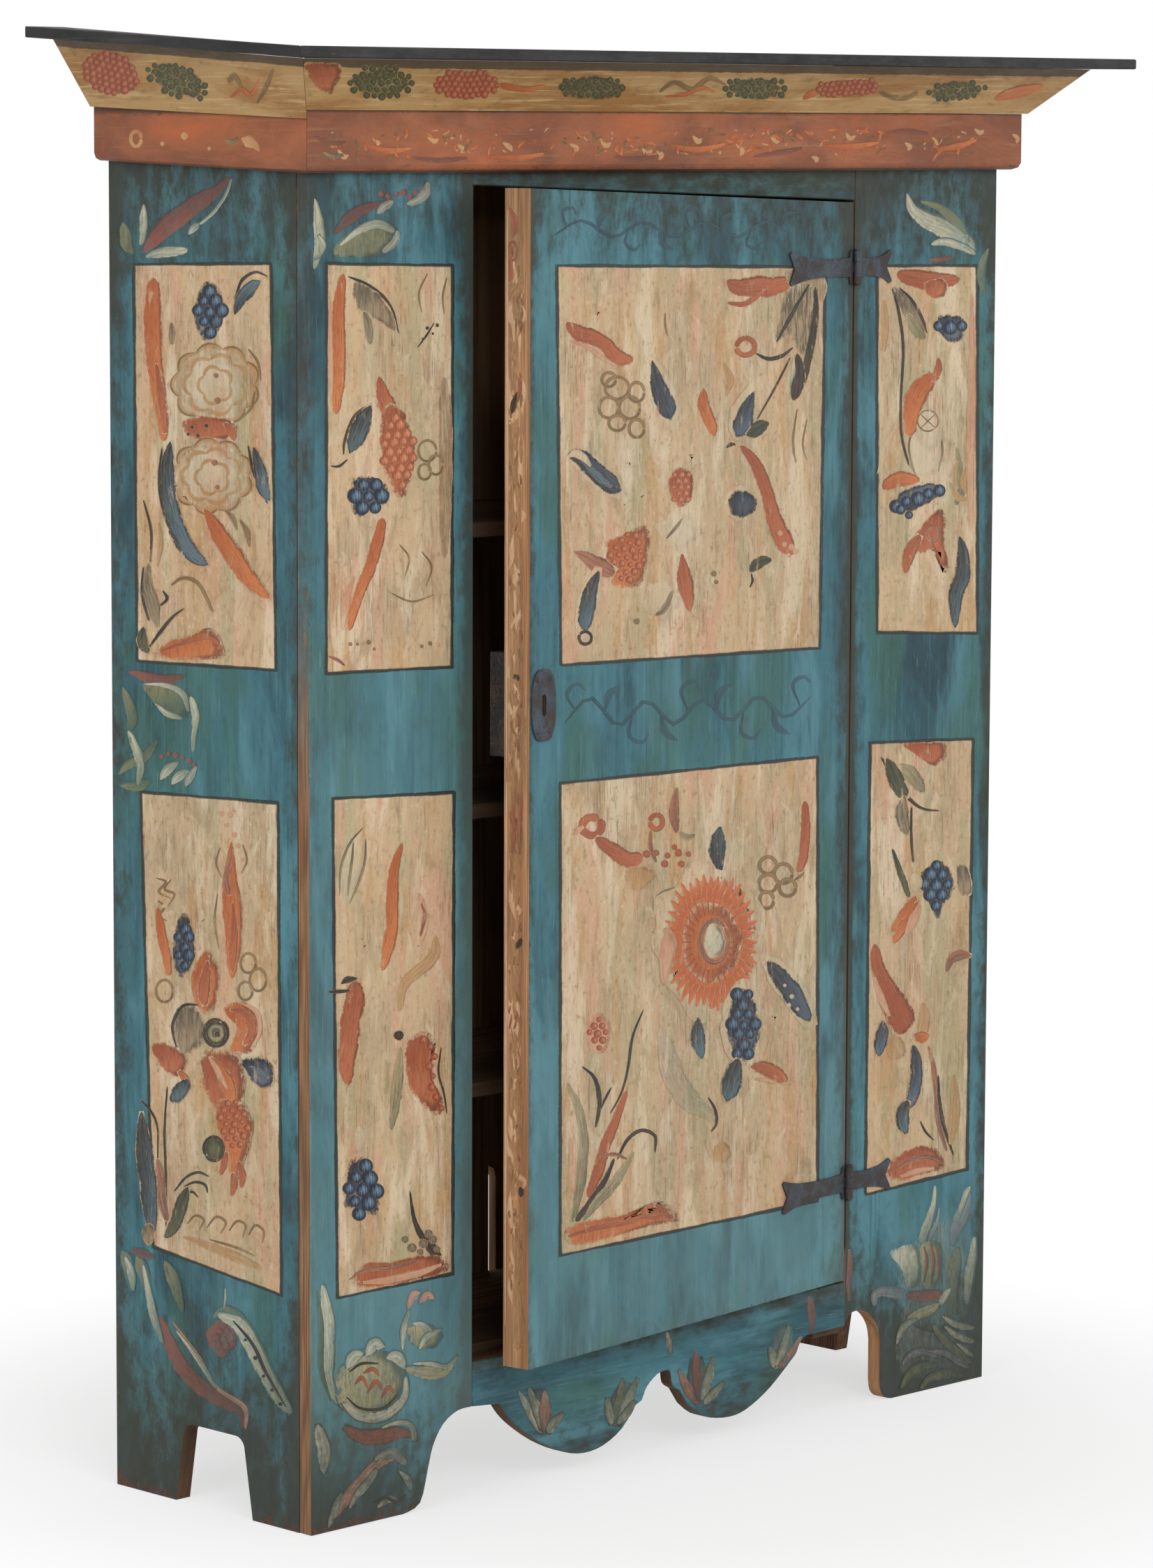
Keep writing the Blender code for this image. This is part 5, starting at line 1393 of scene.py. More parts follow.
doorUpper = {
    **framed(((798, 381), (1182, 383), (1174, 928), (804, 953))),
    "wave": stroke("coral", "5 12 11 11 12 6", "810 462 830 478 852 484 868 494 884 512 908 515"),
    "waveLow": stroke("rose", "1 3 3 1", "816 488 842 498 864 514 884 524"),
    "topStroke": stroke("coral", "6 13 15 14 9", "1040 402 1060 412 1086 410 1108 410 1136 402"),
    "topStrokeTail": stroke("coral", "2 4 4 1", "1042 434 1064 436 1082 426 1096 414"),
    "cornerShade": patch("stain", (1156, 402),
        "1124 388 1160 384 1182 392 1180 430 1160 428 1136 414"),
    "bigLeaf": patch("hatched", (1140, 456),
        "1128 418 1160 404 1166 450 1160 500 1146 510 1134 480 1112 488 1116 458"),
    "bigLeafVein": stroke("dark", "1 3 3 1.5", "1160 406 1142 436 1128 462 1112 490"),
    "bigLeafSide": stroke("dark", "2 5 6 5 3", "1168 410 1168 452 1160 500 1152 540 1142 566"),
    "leafHook": stroke("dark", "1 3 3 1.2", "1082 506 1100 514 1120 510 1136 498"),
    "innerLeaf": stroke("dark", "3 9 10 5", "1142 506 1144 530 1142 552 1136 574"),
    "innerLeafLight": stroke("bone", "1 3 1", "1137 514 1136 534 1132 552"),
    "redLoop": ring("coral", (1068, 497), (13, 12), 4),
    "thinStem": stroke("dark", "1 1.6 1", "1132 512 1112 552 1084 602"),
    "farStem": stroke("olive", "1 1.8 1", "1142 586 1136 630 1140 664"),
    "farStemNext": stroke("olive", "0.8 1.6 0.8", "1156 600 1150 636 1156 660"),
    "haloLeaf": stroke("pale", "6 20 20 7", "932 508 944 546 958 584 964 612"),
    "navyLeafMiddle": stroke("navy", "2 9 14 13 4", "934 516 940 542 948 566 956 588 960 603",
        tones=(0, 0.35)),
    "rings": rings("olive", 2.4, (884, 556, 17, 16), (872, 584, 14, 15), (902, 584, 15, 16),
        (912, 562, 11, 14), (884, 606, 12, 11), (912, 614, 11, 13), (872, 544, 10, 10)),
    "ochreHalo": stroke("ochre", "2 6 2", "1036 520 1046 544 1040 568"),
    "drop": stroke("orange", "3 9 9 8 3", "1008 556 1008 578 1013 596 1020 612 1024 626"),
    "rightLeafHalo": stroke("pale", "5 18 18 6", "1080 548 1068 584 1060 612 1056 632"),
    "rightLeaf": stroke("navy", "2 9 14 13 4", "1080 560 1072 580 1066 600 1060 616 1054 626",
        tones=(0, 0.7)),
    "rightLeafLow": stroke("green", "3 10 9 3", "1068 624 1080 618 1092 610 1102 606",
        tones=(0, 0.3)),
    "smallHook": stroke("dark", "1 3 1", "1040 642 1047 637 1054 637"),
    "longStroke": stroke("coral", "4 8 10 10 13 14 7",
        "1060 638 1078 658 1093 688 1103 722 1112 752 1124 778 1138 794"),
    "longStrokeDots": berries("rose", 4, "1118 764 1124 780 1134 784 1130 796 1140 790"),
    "leftLeafHalo": stroke("pale", "6 18 18 7", "808 646 838 660 872 692 898 712"),
    "leftLeaf": stroke("navy", "7 12 14 14 6", "812 650 832 656 854 676 874 694 890 704",
        tones=(0.1, 0.3)),
    "leftLeafBlue": stroke("teal", "2 5 5 2", "834 660 850 676 862 688 876 698", tones=(0.6, 1)),
    "leftLeafTip": stroke("pale", "2 6 5 2", "814 654 824 650 836 656 846 668"),
    "berryHeart": blob("coral", (976, 697), (18, 29)),
    "berrySeeds": bunch("coralBerry", (976, 697), (17, 27), 4.2, gap=2.4, tones=(0.3, 1)),
    "ovalHalo": blob("pale", (1063, 722), (27, 25)),
    "navyOval": blob("navy", (1063, 722), (21, 20), radial=True, tones=(0.4, 0)),
    "grapesHeart": patch("orange", (898, 798),
        "872 776 898 762 926 752 930 790 922 832 898 842 876 834 868 804"),
    "grapeSeeds": bunch("coralBerry", (899, 798), (28, 42), 5, gap=2.4, turn=8, tones=(0.1, 1)),
    "grapeLeaf": stroke("brick", "3 9 13 10", "822 790 842 800 860 812 880 824", tones=(0, 0.2)),
    "lowLeafHalo": stroke("pale", "5 15 15 10", "858 812 846 850 838 888 836 922"),
    "lowLeaf": stroke("teal", "3 9 12 11 5", "858 818 848 840 842 866 838 888 840 906",
        tones=(0, 0.8)),
    "lowLeafRing": ring("dark", (838, 914), (9, 9), 2.4),
    "paleFlower": blob("pale", (972, 760), (30, 26), petals=(6, 0.1)),
    "paleFlowerVeins": stroke("grey", "1 3 1", "954 772 968 756 978 742"),
    "coralDrop": stroke("coral", "2 9 12 10 3", "977 792 979 818 982 836 985 854 988 878"),
    "darkSprig": stroke("green", "3 8 8 4", "1074 820 1082 810 1092 804 1106 802", tones=(0, 0.3)),
    "sprigTail": stroke("dark", "1 2 1", "1076 822 1078 832 1074 842"),
    "lowPale": blob("pale", (948, 858), (26, 30), petals=(5, 0.12)),
    "lowPaleShade": stroke("grey", "2 5 2", "938 882 952 872 964 846"),
    "tinyMark": berries("olive", 4, "912 890 1026 834 1022 822"),
    "thinLine": stroke("olive", "0.8 1.8 0.8", "953 448 953 466 956 482"),
}

doorLower = {
    **framed(((803, 1123), (1171, 1085), (1171, 1720), (803, 1799))),
    "curl": ring("coral", (848, 1184), (14, 13), 6),
    "curlStroke": stroke("coral", "6 10 12 12 8", "852 1200 868 1212 886 1224 902 1232 922 1226"),
    "curlTail": stroke("rose", "2 4 2", "820 1196 828 1190 836 1184"),
    "smallRing": ring("coral", (940, 1178), (9, 10), 4),
    "smallStem": stroke("brick", "2 3.5 2", "932 1190 932 1214 940 1236"),
    "brownLeaf": stroke("brick", "2 7 7 3", "970 1128 966 1152 966 1174 970 1194"),
    "redSpecks": berries("coral", 5,
        "926 1224 940 1222 956 1226 972 1222 986 1224 952 1238 976 1238 966 1214"),
    "paleBrownLeaf": patch("ochre", (918, 1258), "898 1246 928 1242 940 1256 918 1276 900 1272"),
    "greenTick": stroke("moss", "2 5 2", "972 1192 984 1200 996 1196"),
    "leafHalo": stroke("pale", "6 17 17 8", "1032 1176 1028 1206 1028 1234 1030 1256"),
    "navyLeaf": stroke("teal", "4 11 12 8 4", "1032 1184 1028 1204 1028 1224 1029 1240 1031 1254",
        tones=(0.35, 0)),
    "rightColumn": stroke("coral", "4 7 7 7 5",
        "1153 1148 1154 1176 1153 1206 1150 1232 1142 1250"),
    "rings": rings("olive", 2.8, (1100, 1240, 12, 12), (1122, 1252, 13, 14), (1100, 1266, 13, 13),
        (1128, 1272, 12, 12), (1098, 1290, 10, 12)),
    "ringStem": stroke("olive", "1 2.4 1", "1136 1262 1146 1256 1152 1250"),
    "pinkLobe": patch("rose", (974, 1292), "950 1284 972 1272 996 1284 992 1306 968 1314 952 1304"),
    "lobeLine": stroke("grey", "1 2.4 2.4 1", "948 1310 944 1284 968 1274 990 1282"),
    "paleLobes": berries("pale", (16, 18), "1008 1250 1072 1272"),
    "flowerBlush": blob("dustyPale", (1016, 1346), (80, 112), petals=(9, 0.06)),
    "flowerPetals": blob("petalOrange", (1018, 1350), (64, 90), petals=(17, 0.05), radial=True,
        tones=(1, 0.3)),
    "flowerRays": rays("petalOrange", (1018, 1350), (46, 66), (69, 99), 40, 7),
    "flowerGlow": blob("orange", (1019, 1350), (42, 58), radial=True, tones=(0.9, 0.2)),
    "flowerVeins": rays("coral", (1018, 1350), (28, 40), (46, 66), 30, 1.8),
    "flowerLeftLobe": patch("rose", (954, 1372),
        "958 1330 968 1352 962 1386 950 1410 944 1388 946 1350"),
    "flowerRing": ring("brick", (1023, 1349), (20, 30), 3.5),
    "flowerHeart": blob("bone", (1023, 1349), (15, 25), tones=(0, 0.3)),
    "rightLeafHalo": stroke("pale", "8 20 20 10", "1092 1366 1118 1396 1144 1432 1162 1472"),
    "rightLeaf": stroke("navy", "5 13 15 13 7", "1098 1378 1116 1398 1132 1420 1146 1442 1160 1464",
        tones=(0, 0.7)),
    "rightLeafDots": berries("pale", 3, "1124 1412 1134 1428 1130 1440 1142 1446"),
    "grapeHalo": blob("pale", (1064, 1468), (32, 62)),
    "grapeSkin": patch("navy", (1064, 1468),
        "1056 1414 1076 1420 1088 1450 1090 1490 1078 1522 1062 1524 1044 1498 1040 1458",
        reach=0.93),
    "grapes": bunch("grape", (1064, 1468), (24, 52), 9.2, tones=(0, 0.85)),
    "lowBlueLeaf": stroke("teal", "5 12 15 12 4",
        "1058 1516 1052 1534 1048 1550 1044 1566 1040 1580", tones=(0, 0.7)),
    "stemLeaf": stroke("teal", "3 9 11 8 3", "1000 1458 999 1476 1000 1490 1003 1504 1005 1518",
        tones=(0, 1)),
    "crescent": stroke("coral", "4 10 11 6", "1074 1528 1094 1530 1110 1538 1128 1550"),
    "crescentLight": stroke("rose", "1 3 1", "1080 1546 1098 1548 1112 1552"),
    "berryHeart": blob("rose", (857, 1480), (19, 30)),
    "berrySeeds": bunch("coralBerry", (857, 1480), (18, 28), 5, gap=2.3, tones=(0.1, 0.9)),
    "longStem": stroke("dark", "1 2 2 1.6 1", "922 1446 906 1486 900 1528 890 1566 874 1596"),
    "forkStem": stroke("dark", "1.2 3 3.4 1.6", "834 1528 852 1546 859 1580 853 1616"),
    "forkTwig": stroke("dark", "0.8 2 1", "876 1558 868 1572 860 1590"),
    "greenStem": stroke("moss", "3 6 7 8 6 3",
        "812 1552 828 1586 836 1630 834 1674 828 1716 820 1752"),
    "redStem": stroke("coral", "3 6 8 8 5", "898 1562 884 1600 868 1640 856 1680 842 1716",
        tones=(0.7, 0.2)),
    "brownStem": stroke("dark", "2 4 5 4", "880 1660 866 1692 846 1722 824 1750"),
    "arch": stroke("dark", "1.4 2.6 2.8 2.4 1.4", "884 1662 898 1634 918 1620 938 1628 938 1652"),
    "archTwig": stroke("brick", "1 3 1", "858 1658 880 1654 900 1662"),
    "mossFoot": stroke("moss", "2 7 7 3", "908 1650 884 1690 858 1720 836 1748"),
    "greyLeaf": stroke("mist", "4 14 17 16 9 3",
        "948 1470 956 1510 968 1546 988 1576 1012 1594 1024 1610"),
    "greyLeafTip": stroke("dark", "1 2.2 2 1", "1014 1572 1024 1590 1026 1610 1018 1622"),
    "mound": patch("orange", (880, 1758),
        "808 1762 848 1748 890 1740 924 1728 944 1722 966 1738 970 1752 934 1756 880 1772 "
        "816 1786"),
    "moundWave": stroke("coral", "2 4 4 4 2", "812 1772 852 1760 896 1752 930 1742 964 1750"),
    "moundCurl": ring("coral", (936, 1736), (14, 9), 3),
    "ochreWash": blob("ochre", (1034, 1652), (14, 16)),
}

stileRightUpper = {
    **framed(((1257, 381), (1400, 381), (1400, 907), (1257, 906))),
    "paleBody": blob("pale", (1325, 648), (23, 46)),
    "paleBodyLine": strokes("grey", "1 1.6 1", "1308 612 1302 640 1308 672 1318 690",
        "1344 612 1350 644 1344 676"),
    "topStroke": stroke("coral", "8 13 14 12 6", "1284 392 1306 398 1330 402 1352 402 1376 400",
        tones=(0, 0.6)),
    "topBlob": patch("coral", (1340, 412), "1326 404 1352 400 1358 418 1342 428 1328 422"),
    "hookLeaf": patch("grey", (1302, 446), "1278 412 1296 418 1316 444 1328 472 1314 476 1294 450"),
    "hookLeafLine": stroke("dark", "1 2.4 2.4 1", "1288 412 1306 430 1320 454 1328 478"),
    "oliveLeaf": stroke("moss", "3 9 8 3", "1300 450 1310 466 1318 478 1326 486"),
    "grapeSkin": patch("navy", (1362, 468), "1342 452 1368 450 1386 462 1380 486 1360 492 1344 476",
        reach=0.93),
    "grapes": bunch("grape", (1362, 468), (22, 21), 9.4),
    "stem": stroke("dark", "1.6 2.2 2.2 2 2 1.6",
        "1278 412 1288 450 1294 500 1291 560 1291 620 1302 668"),
    "leftOchre": stroke("ochre", "3 6 3", "1266 430 1268 466 1266 504"),
    "orangeLeaf": stroke("orange", "5 12 15 14 8", "1346 538 1330 546 1316 562 1306 590 1303 626"),
    "orangeLeafTip": stroke("coral", "2 6 2", "1344 512 1344 530 1336 548"),
    "paleLeaf": patch("pale", (1324, 610), "1316 592 1338 584 1350 620 1336 650 1316 632"),
    "checkRing": ring("olive", (1329, 603), (15, 15), 1.1),
    "checkLines": strokes("olive", "0.6 1 0.6", "1319 594 1339 613", "1339 594 1319 613"),
    "sprig": stroke("moss", "2 6 8 3", "1370 640 1374 672 1376 700 1370 724"),
    "yellowMarks": strokes("ochre", "2 5 2", "1372 660 1366 680 1372 700",
        "1360 690 1372 712 1386 716", "1384 668 1380 690 1384 706"),
    "lowOrange": stroke("orange", "5 10 11 6", "1264 702 1276 692 1292 686 1318 688"),
    "lowGrapeSkin": stroke("navy", "8 16 16 14 7", "1282 724 1298 718 1314 712 1330 706 1350 698"),
    "lowGrapes": bunch("grape", (1314, 714), (38, 18), 9.4, turn=-20),
    "lowGrapeDrop": berries("grape", 7, "1302 738 1290 730"),
    "petals": patch("coral", (1334, 762),
        "1346 730 1356 744 1352 776 1360 812 1348 818 1338 790 1318 796 1306 788 1318 756"),
    "petalLeg": stroke("coral", "5 9 8 3", "1318 766 1306 786 1300 804 1296 822", tones=(0.2, 0.8)),
    "petalRing": ring("brick", (1336, 764), (9, 11), 2),
    "blueLeaf": stroke("teal", "3 9 12 11 8 3",
        "1374 768 1380 796 1378 826 1370 850 1368 876 1368 900", tones=(0.1, 0.6)),
    "edgeWash": stroke("rose", "2 6 6 2", "1392 420 1392 560 1390 660 1392 760"),
}

stileRightLower = {
    **framed(((1247, 1065), (1394, 1059), (1385, 1675), (1240, 1712))),
    "topCoral": patch("coral", (1324, 1078),
        "1290 1066 1324 1064 1356 1064 1350 1092 1332 1096 1310 1080"),
    "topStem": stroke("dark", "1.4 3 3 2.2 1.2",
        "1262 1084 1278 1112 1298 1140 1320 1158 1346 1162"),
    "darkLeaf": stroke("green", "4 11 12 6", "1270 1086 1280 1108 1288 1128 1298 1146",
        tones=(0.1, 0.6)),
    "oliveLeaf": stroke("moss", "4 11 10 4", "1290 1094 1304 1108 1314 1122 1324 1136"),
    "hangingLeaf": stroke("grey", "3 9 10 4", "1296 1140 1292 1160 1294 1178 1300 1198",
        tones=(0, 0.5)),
    "downStem": stroke("dark", "1.4 2 2 1.4", "1306 1156 1305 1184 1306 1210 1308 1236"),
    "lowerLeaf": stroke("green", "2 4 5 3", "1278 1216 1286 1240 1294 1262 1302 1286"),
    "grapeSkin": patch("navy", (1342, 1268),
        "1330 1236 1350 1230 1364 1250 1370 1276 1352 1300 1344 1322 1332 1300 1318 1278 "
        "1318 1252", reach=0.93),
    "grapes": bunch("grape", (1342, 1268), (26, 40), 9.4),
    "grapeLeaf": patch("grey", (1380, 1262), "1370 1242 1388 1246 1392 1280 1376 1282"),
    "paleDrop": blob("pale", (1312, 1264), (9, 14)),
    "flameA": stroke("orange", "3 8 8 3", "1312 1284 1302 1302 1290 1318 1276 1336"),
    "flameB": stroke("orange", "3 7 7 3", "1314 1292 1302 1316 1290 1334 1280 1352"),
    "flameC": stroke("rose", "3 7 3", "1318 1296 1308 1320 1298 1340"),
    "sideLeaf": stroke("brick", "3 8 6 2", "1392 1370 1376 1368 1362 1376 1356 1394",
        tones=(0.3, 0.8)),
    "bigStroke": stroke("coral", "6 10 15 20 20 10",
        "1252 1350 1258 1386 1268 1414 1282 1440 1290 1462 1288 1484", tones=(0.4, 0)),
    "bigStrokeLight": stroke("rose", "2 5 2", "1252 1400 1262 1430 1274 1456"),
    "smallNavy": stroke("navy", "3 9 9 4", "1265 1462 1264 1480 1261 1496 1258 1514"),
    "ochreSpot": blob("ochre", (1284, 1502), (14, 18)),
    "ochreDrop": stroke("ochre", "4 9 9 4", "1322 1436 1324 1458 1322 1476 1318 1492"),
    "brownDrop": stroke("orange", "3 9 3", "1308 1482 1320 1486 1332 1482"),
    "middleLeaf": stroke("navy", "4 8 9 9 6", "1308 1496 1312 1520 1313 1544 1308 1566 1302 1588",
        tones=(0, 0.9)),
    "lowLeaf": stroke("teal", "5 9 10 4", "1300 1576 1294 1592 1293 1608 1298 1626",
        tones=(0, 0.9)),
    "brownStem": stroke("brick", "2 4 4 4 2", "1330 1498 1338 1534 1342 1572 1344 1606 1356 1650"),
    "darkStem": stroke("dark", "1.4 2.6 2.6 1.4", "1344 1540 1346 1580 1354 1620 1366 1656"),
    "twig": stroke("dark", "0.8 2 0.8", "1318 1606 1326 1622 1338 1634"),
    "washes": stroke("ochre", "3 8 8 3", "1366 1540 1368 1580 1366 1610 1362 1640"),
    "mound": patch("coral", (1314, 1664),
        "1270 1684 1280 1660 1304 1646 1334 1642 1352 1656 1350 1674 1318 1684 1290 1692"),
    "moundLine": stroke("brick", "1 3.4 3.4 1", "1276 1682 1300 1664 1330 1658 1350 1668"),
    "moundLight": stroke("rose", "2 4 2", "1290 1686 1314 1678 1338 1674"),
}

sideGround = {
    "topTrail": stroke("brick", "5 13 15 12 6 3", "204 362 228 334 258 308 292 284 316 268 330 250",
        tones=(0.2, 1)),
    "topTrailLine": stroke("bone", "1 2.5 2.5 2", "268 334 300 310 322 282 332 256",
        tones=(0.3, 0.9)),
    "topTrailKnot": stroke("bone", "2 6 3", "270 336 278 326 286 320"),
    "topLeafA": stroke("moss", "3 9 9 4", "176 318 180 334 182 350 192 364", tones=(0, 0.6)),
    "topLeafB": stroke("bone", "2 6 6 3", "206 292 206 312 206 330 202 352", tones=(0, 0.7)),
    "topLeafC": stroke("bone", "3 8 8 4", "208 368 228 362 250 360 270 358", tones=(0.6, 0)),
    "redTrail": stroke("brick", "3 8 8 4", "184 962 212 970 240 974 266 968"),
    "creamLeaf": patch("moss", (240, 1004), "204 980 236 982 268 990 272 1028 246 1032 222 1010"),
    "creamLeafEdge": strokes("bone", "1 4 5 2", "206 980 238 982 262 994 270 1020",
        "222 1008 240 1022 262 1030"),
    "edgeLeaves": strokes("moss", "2 7 8 3", "176 984 184 1004 190 1030 184 1052",
        "170 1110 184 1096 206 1084 226 1060", "172 1126 196 1126 216 1118"),
    "uprightLeaf": stroke("bone", "4 6 6 4 3", "274 998 279 1016 281 1032 278 1054 277 1078"),
    "sideScroll": stroke("bone", "3 7 6 3", "184 1046 196 1074 202 1100 198 1126"),
    "redRow": berries("brick", 4, "232 1084 242 1080 252 1082 262 1086 272 1090 278 1096"),
    "lowPetalA": stroke("bone", "3 8 3", "230 1118 240 1102 256 1092"),
    "lowPetalB": stroke("bone", "3 8 4", "246 1124 256 1112 272 1104"),
    "lowPetalC": stroke("pale", "2 6 2", "266 1128 272 1114 282 1098"),
    "footTuft": strokes("moss", "3 9 8 3", "176 1792 184 1812 190 1850",
        "236 1806 250 1836 262 1880", "196 1800 206 1822 214 1856"),
    "footTuftRed": stroke("brick", "3 7 3", "188 1790 204 1796 222 1802", tones=(0.6, 1)),
    "footBrick": stroke("brick", "4 10 12 12 8 4",
        "230 1886 246 1930 272 1972 312 2002 346 2022 350 2050"),
    "footBrickLight": stroke("rose", "1 3 3 4 2", "246 1892 284 1944 310 1988 350 2016 352 2048"),
    "footBoneHigh": strokes("bone", "2 5 6 2", "206 1812 213 1850 222 1890 234 1926",
        "180 1800 188 1822 192 1850"),
    "footBoneLow": stroke("bone", "1 3 4 2", "252 1906 284 1948 310 1990"),
    "footBerries": blob("brick", (320, 1916), (24, 26), tones=(0, 0.4)),
    "footCap": stroke("moss", "3 8 8 3", "304 1888 322 1878 344 1888 352 1904"),
    "footBerrySeeds": bunch("brick", (320, 1918), (22, 24), 6.5, tones=(0.7, 0)),
    "footLeaf": stroke("bone", "6 12 13 12 11 6",
        "312 1882 346 1900 364 1932 380 1964 398 1998 418 2026"),
    "footLeafVein": stroke("dark", "1 2.5 2.5 1", "334 1892 362 1926 382 1968 410 2016"),
    "footLeafDots": berries("dark", 2.6, "352 1920 366 1946 378 1972 390 1992 402 2012"),
    "footSprig": stroke("pale", "1 2 1", "323 1846 323 1860 321 1876"),
}

stileLeftGround = {
    "topEdgeLeaf": stroke("bone", "2 7 9 6 3", "451 284 456 312 458 342 455 368 450 386",
        tones=(0.2, 0.6)),
    "topHook": stroke("bone", "2 4 4 2", "456 336 464 350 460 362 450 372"),
    "topLeaf": patch("moss", (520, 346),
        "478 352 504 330 530 316 556 316 572 334 560 352 542 370 506 368 480 366", tones=(0, 0.4)),
    "topLeafLight": stroke("bone", "2 6 7 5", "486 352 514 330 542 320 566 332"),
    "topLeafEnd": stroke("pale", "3 6 4", "570 330 566 346 548 362"),
    "topShade": stroke("brick", "3 9 8 4", "478 336 498 314 520 300 548 290", tones=(0.9, 1)),
    "topRed": berries("brick", 4.5, "546 278 556 282 568 278 578 276 588 282 596 276 606 272"),
    "topPetalA": stroke("pale", "3 6 6 3", "540 306 548 298 556 292 564 288"),
    "topPetalB": stroke("pale", "3 6 7 4", "582 292 596 288 608 278 614 260"),
    "boneRun": strokes("bone", "4 10 11 9 4", "462 1840 470 1886 470 1936 470 1976 486 2014",
        "455 2040 462 2066 465 2086 464 2112", tones=(0, 0.7)),
    "boneRunShade": stroke("moss", "1 4 4 1", "454 1850 460 1900 460 1960 474 2008",
        tones=(0.5, 1)),
    "flower": patch("straw", (530, 1982),
        "478 1976 498 1946 534 1932 570 1944 584 1978 574 2010 540 2032 500 2026 482 2004",
        tones=(0, 0.5)),
    "flowerLobes": strokes("bone", "3 9 9 3", "496 1962 506 1944 522 1938",
        "524 1944 536 1926 552 1930", "552 1946 570 1944 580 1962", tones=(0, 0.4)),
    "flowerRim": stroke("bone", "3 6 8 7 3", "582 1972 578 2006 548 2030 514 2030 490 2010",
        tones=(0, 0.3)),
    "flowerCurls": strokes("coral", "1 3 3 1", "508 1984 518 1974 526 1988",
        "526 1996 538 1980 548 1992", "520 1968 534 1962 544 1972", "546 2004 556 1988 564 1996"),
    "flowerLine": strokes("dark", "1 2 2 1", "496 2002 516 2018 548 2018 570 1998",
        "500 1966 518 1954 542 1954"),
    "tongue": stroke("brick", "5 11 12 9 4", "492 2044 518 2058 546 2058 572 2052 592 2058",
        tones=(0.2, 0)),
    "tongueEdge": stroke("bone", "2 4 5 4", "546 2046 572 2038 590 2044 594 2066"),
    "budCup": patch("straw", (608, 1914), "586 1902 610 1896 636 1912 624 1930 600 1932 586 1920"),
    "upperStem": strokes("bone", "2 5 2", "576 1934 578 1904 586 1876",
        "600 1934 612 1914 634 1904", "590 1896 606 1898 620 1908"),
    "upperPink": strokes("rose", "2 7 3", "584 1876 592 1856 602 1852",
        "600 1868 612 1856 622 1862", tones=(0.4, 1)),
    "lowerLeaf": stroke("straw", "4 10 10 4", "580 1960 604 1966 628 1966 650 1956",
        tones=(0.2, 0)),
    "lowerLeafEdge": stroke("bone", "1 4 4 2", "590 1954 616 1954 640 1958 656 1942"),
    "spray": stroke("rose", "3 8 8 7 4", "478 2176 496 2148 518 2120 546 2094 572 2086",
        tones=(0.4, 1)),
    "sprayPale": stroke("bone", "2 6 6 3", "500 2162 514 2138 530 2120 540 2104"),
    "sprayHead": stroke("pale", "4 8 5", "536 2092 560 2082 582 2098"),
    "sprayRight": strokes("bone", "2 6 2", "572 2108 584 2120 589 2138",
        "470 2190 480 2160 490 2138", "540 2160 558 2148 574 2154", tones=(0.3, 1)),
    "scribble": stroke("dark", "1 2.4 2.4 1", "534 2154 552 2146 568 2152 582 2142"),
}

# plain running vines along the door's top and middle
doorFlourish = {
    "topVine": stroke("ink", "1 2.4 2.6 2.4 2.6 2.4 2.6 2.4 1",
        "790 340 834 316 878 340 922 318 966 340 1010 318 1054 340 1096 318 1130 334"),
    "topCurls": strokes("ink", "1 2.4 2 1", "812 326 806 304 820 298 826 308",
        "900 330 896 348 908 358 918 350", "988 328 982 306 996 298 1004 308",
        "1076 328 1070 350 1084 356 1092 346"),
    "topLeaves": strokes("ink", "1 4.5 1", "856 330 862 312 876 304", "944 330 950 350 966 358",
        "1032 330 1038 312 1052 304", "1118 326 1126 308 1140 304"),
    "middleVine": stroke("ink", "1 3 3 3 3 3 3 3 3 1",
        "806 1040 846 1000 886 1040 926 1004 966 1038 1006 1002 1046 1034 1086 998 1126 1028 "
        "1164 996"),
    "middleCurls": strokes("ink", "1 2.8 2.4 1", "826 1020 812 996 826 980 840 990",
        "906 1022 902 1054 920 1064 930 1050", "986 1020 976 990 992 976 1004 988",
        "1066 1016 1062 1048 1080 1058 1090 1044", "1146 1012 1136 982 1150 970 1162 978"),
    "middleLeaves": strokes("ink", "1 5.5 1", "866 1022 872 996 888 984",
        "946 1022 954 1050 972 1062", "1026 1020 1032 992 1050 980",
        "1106 1014 1114 1042 1132 1052"),
}

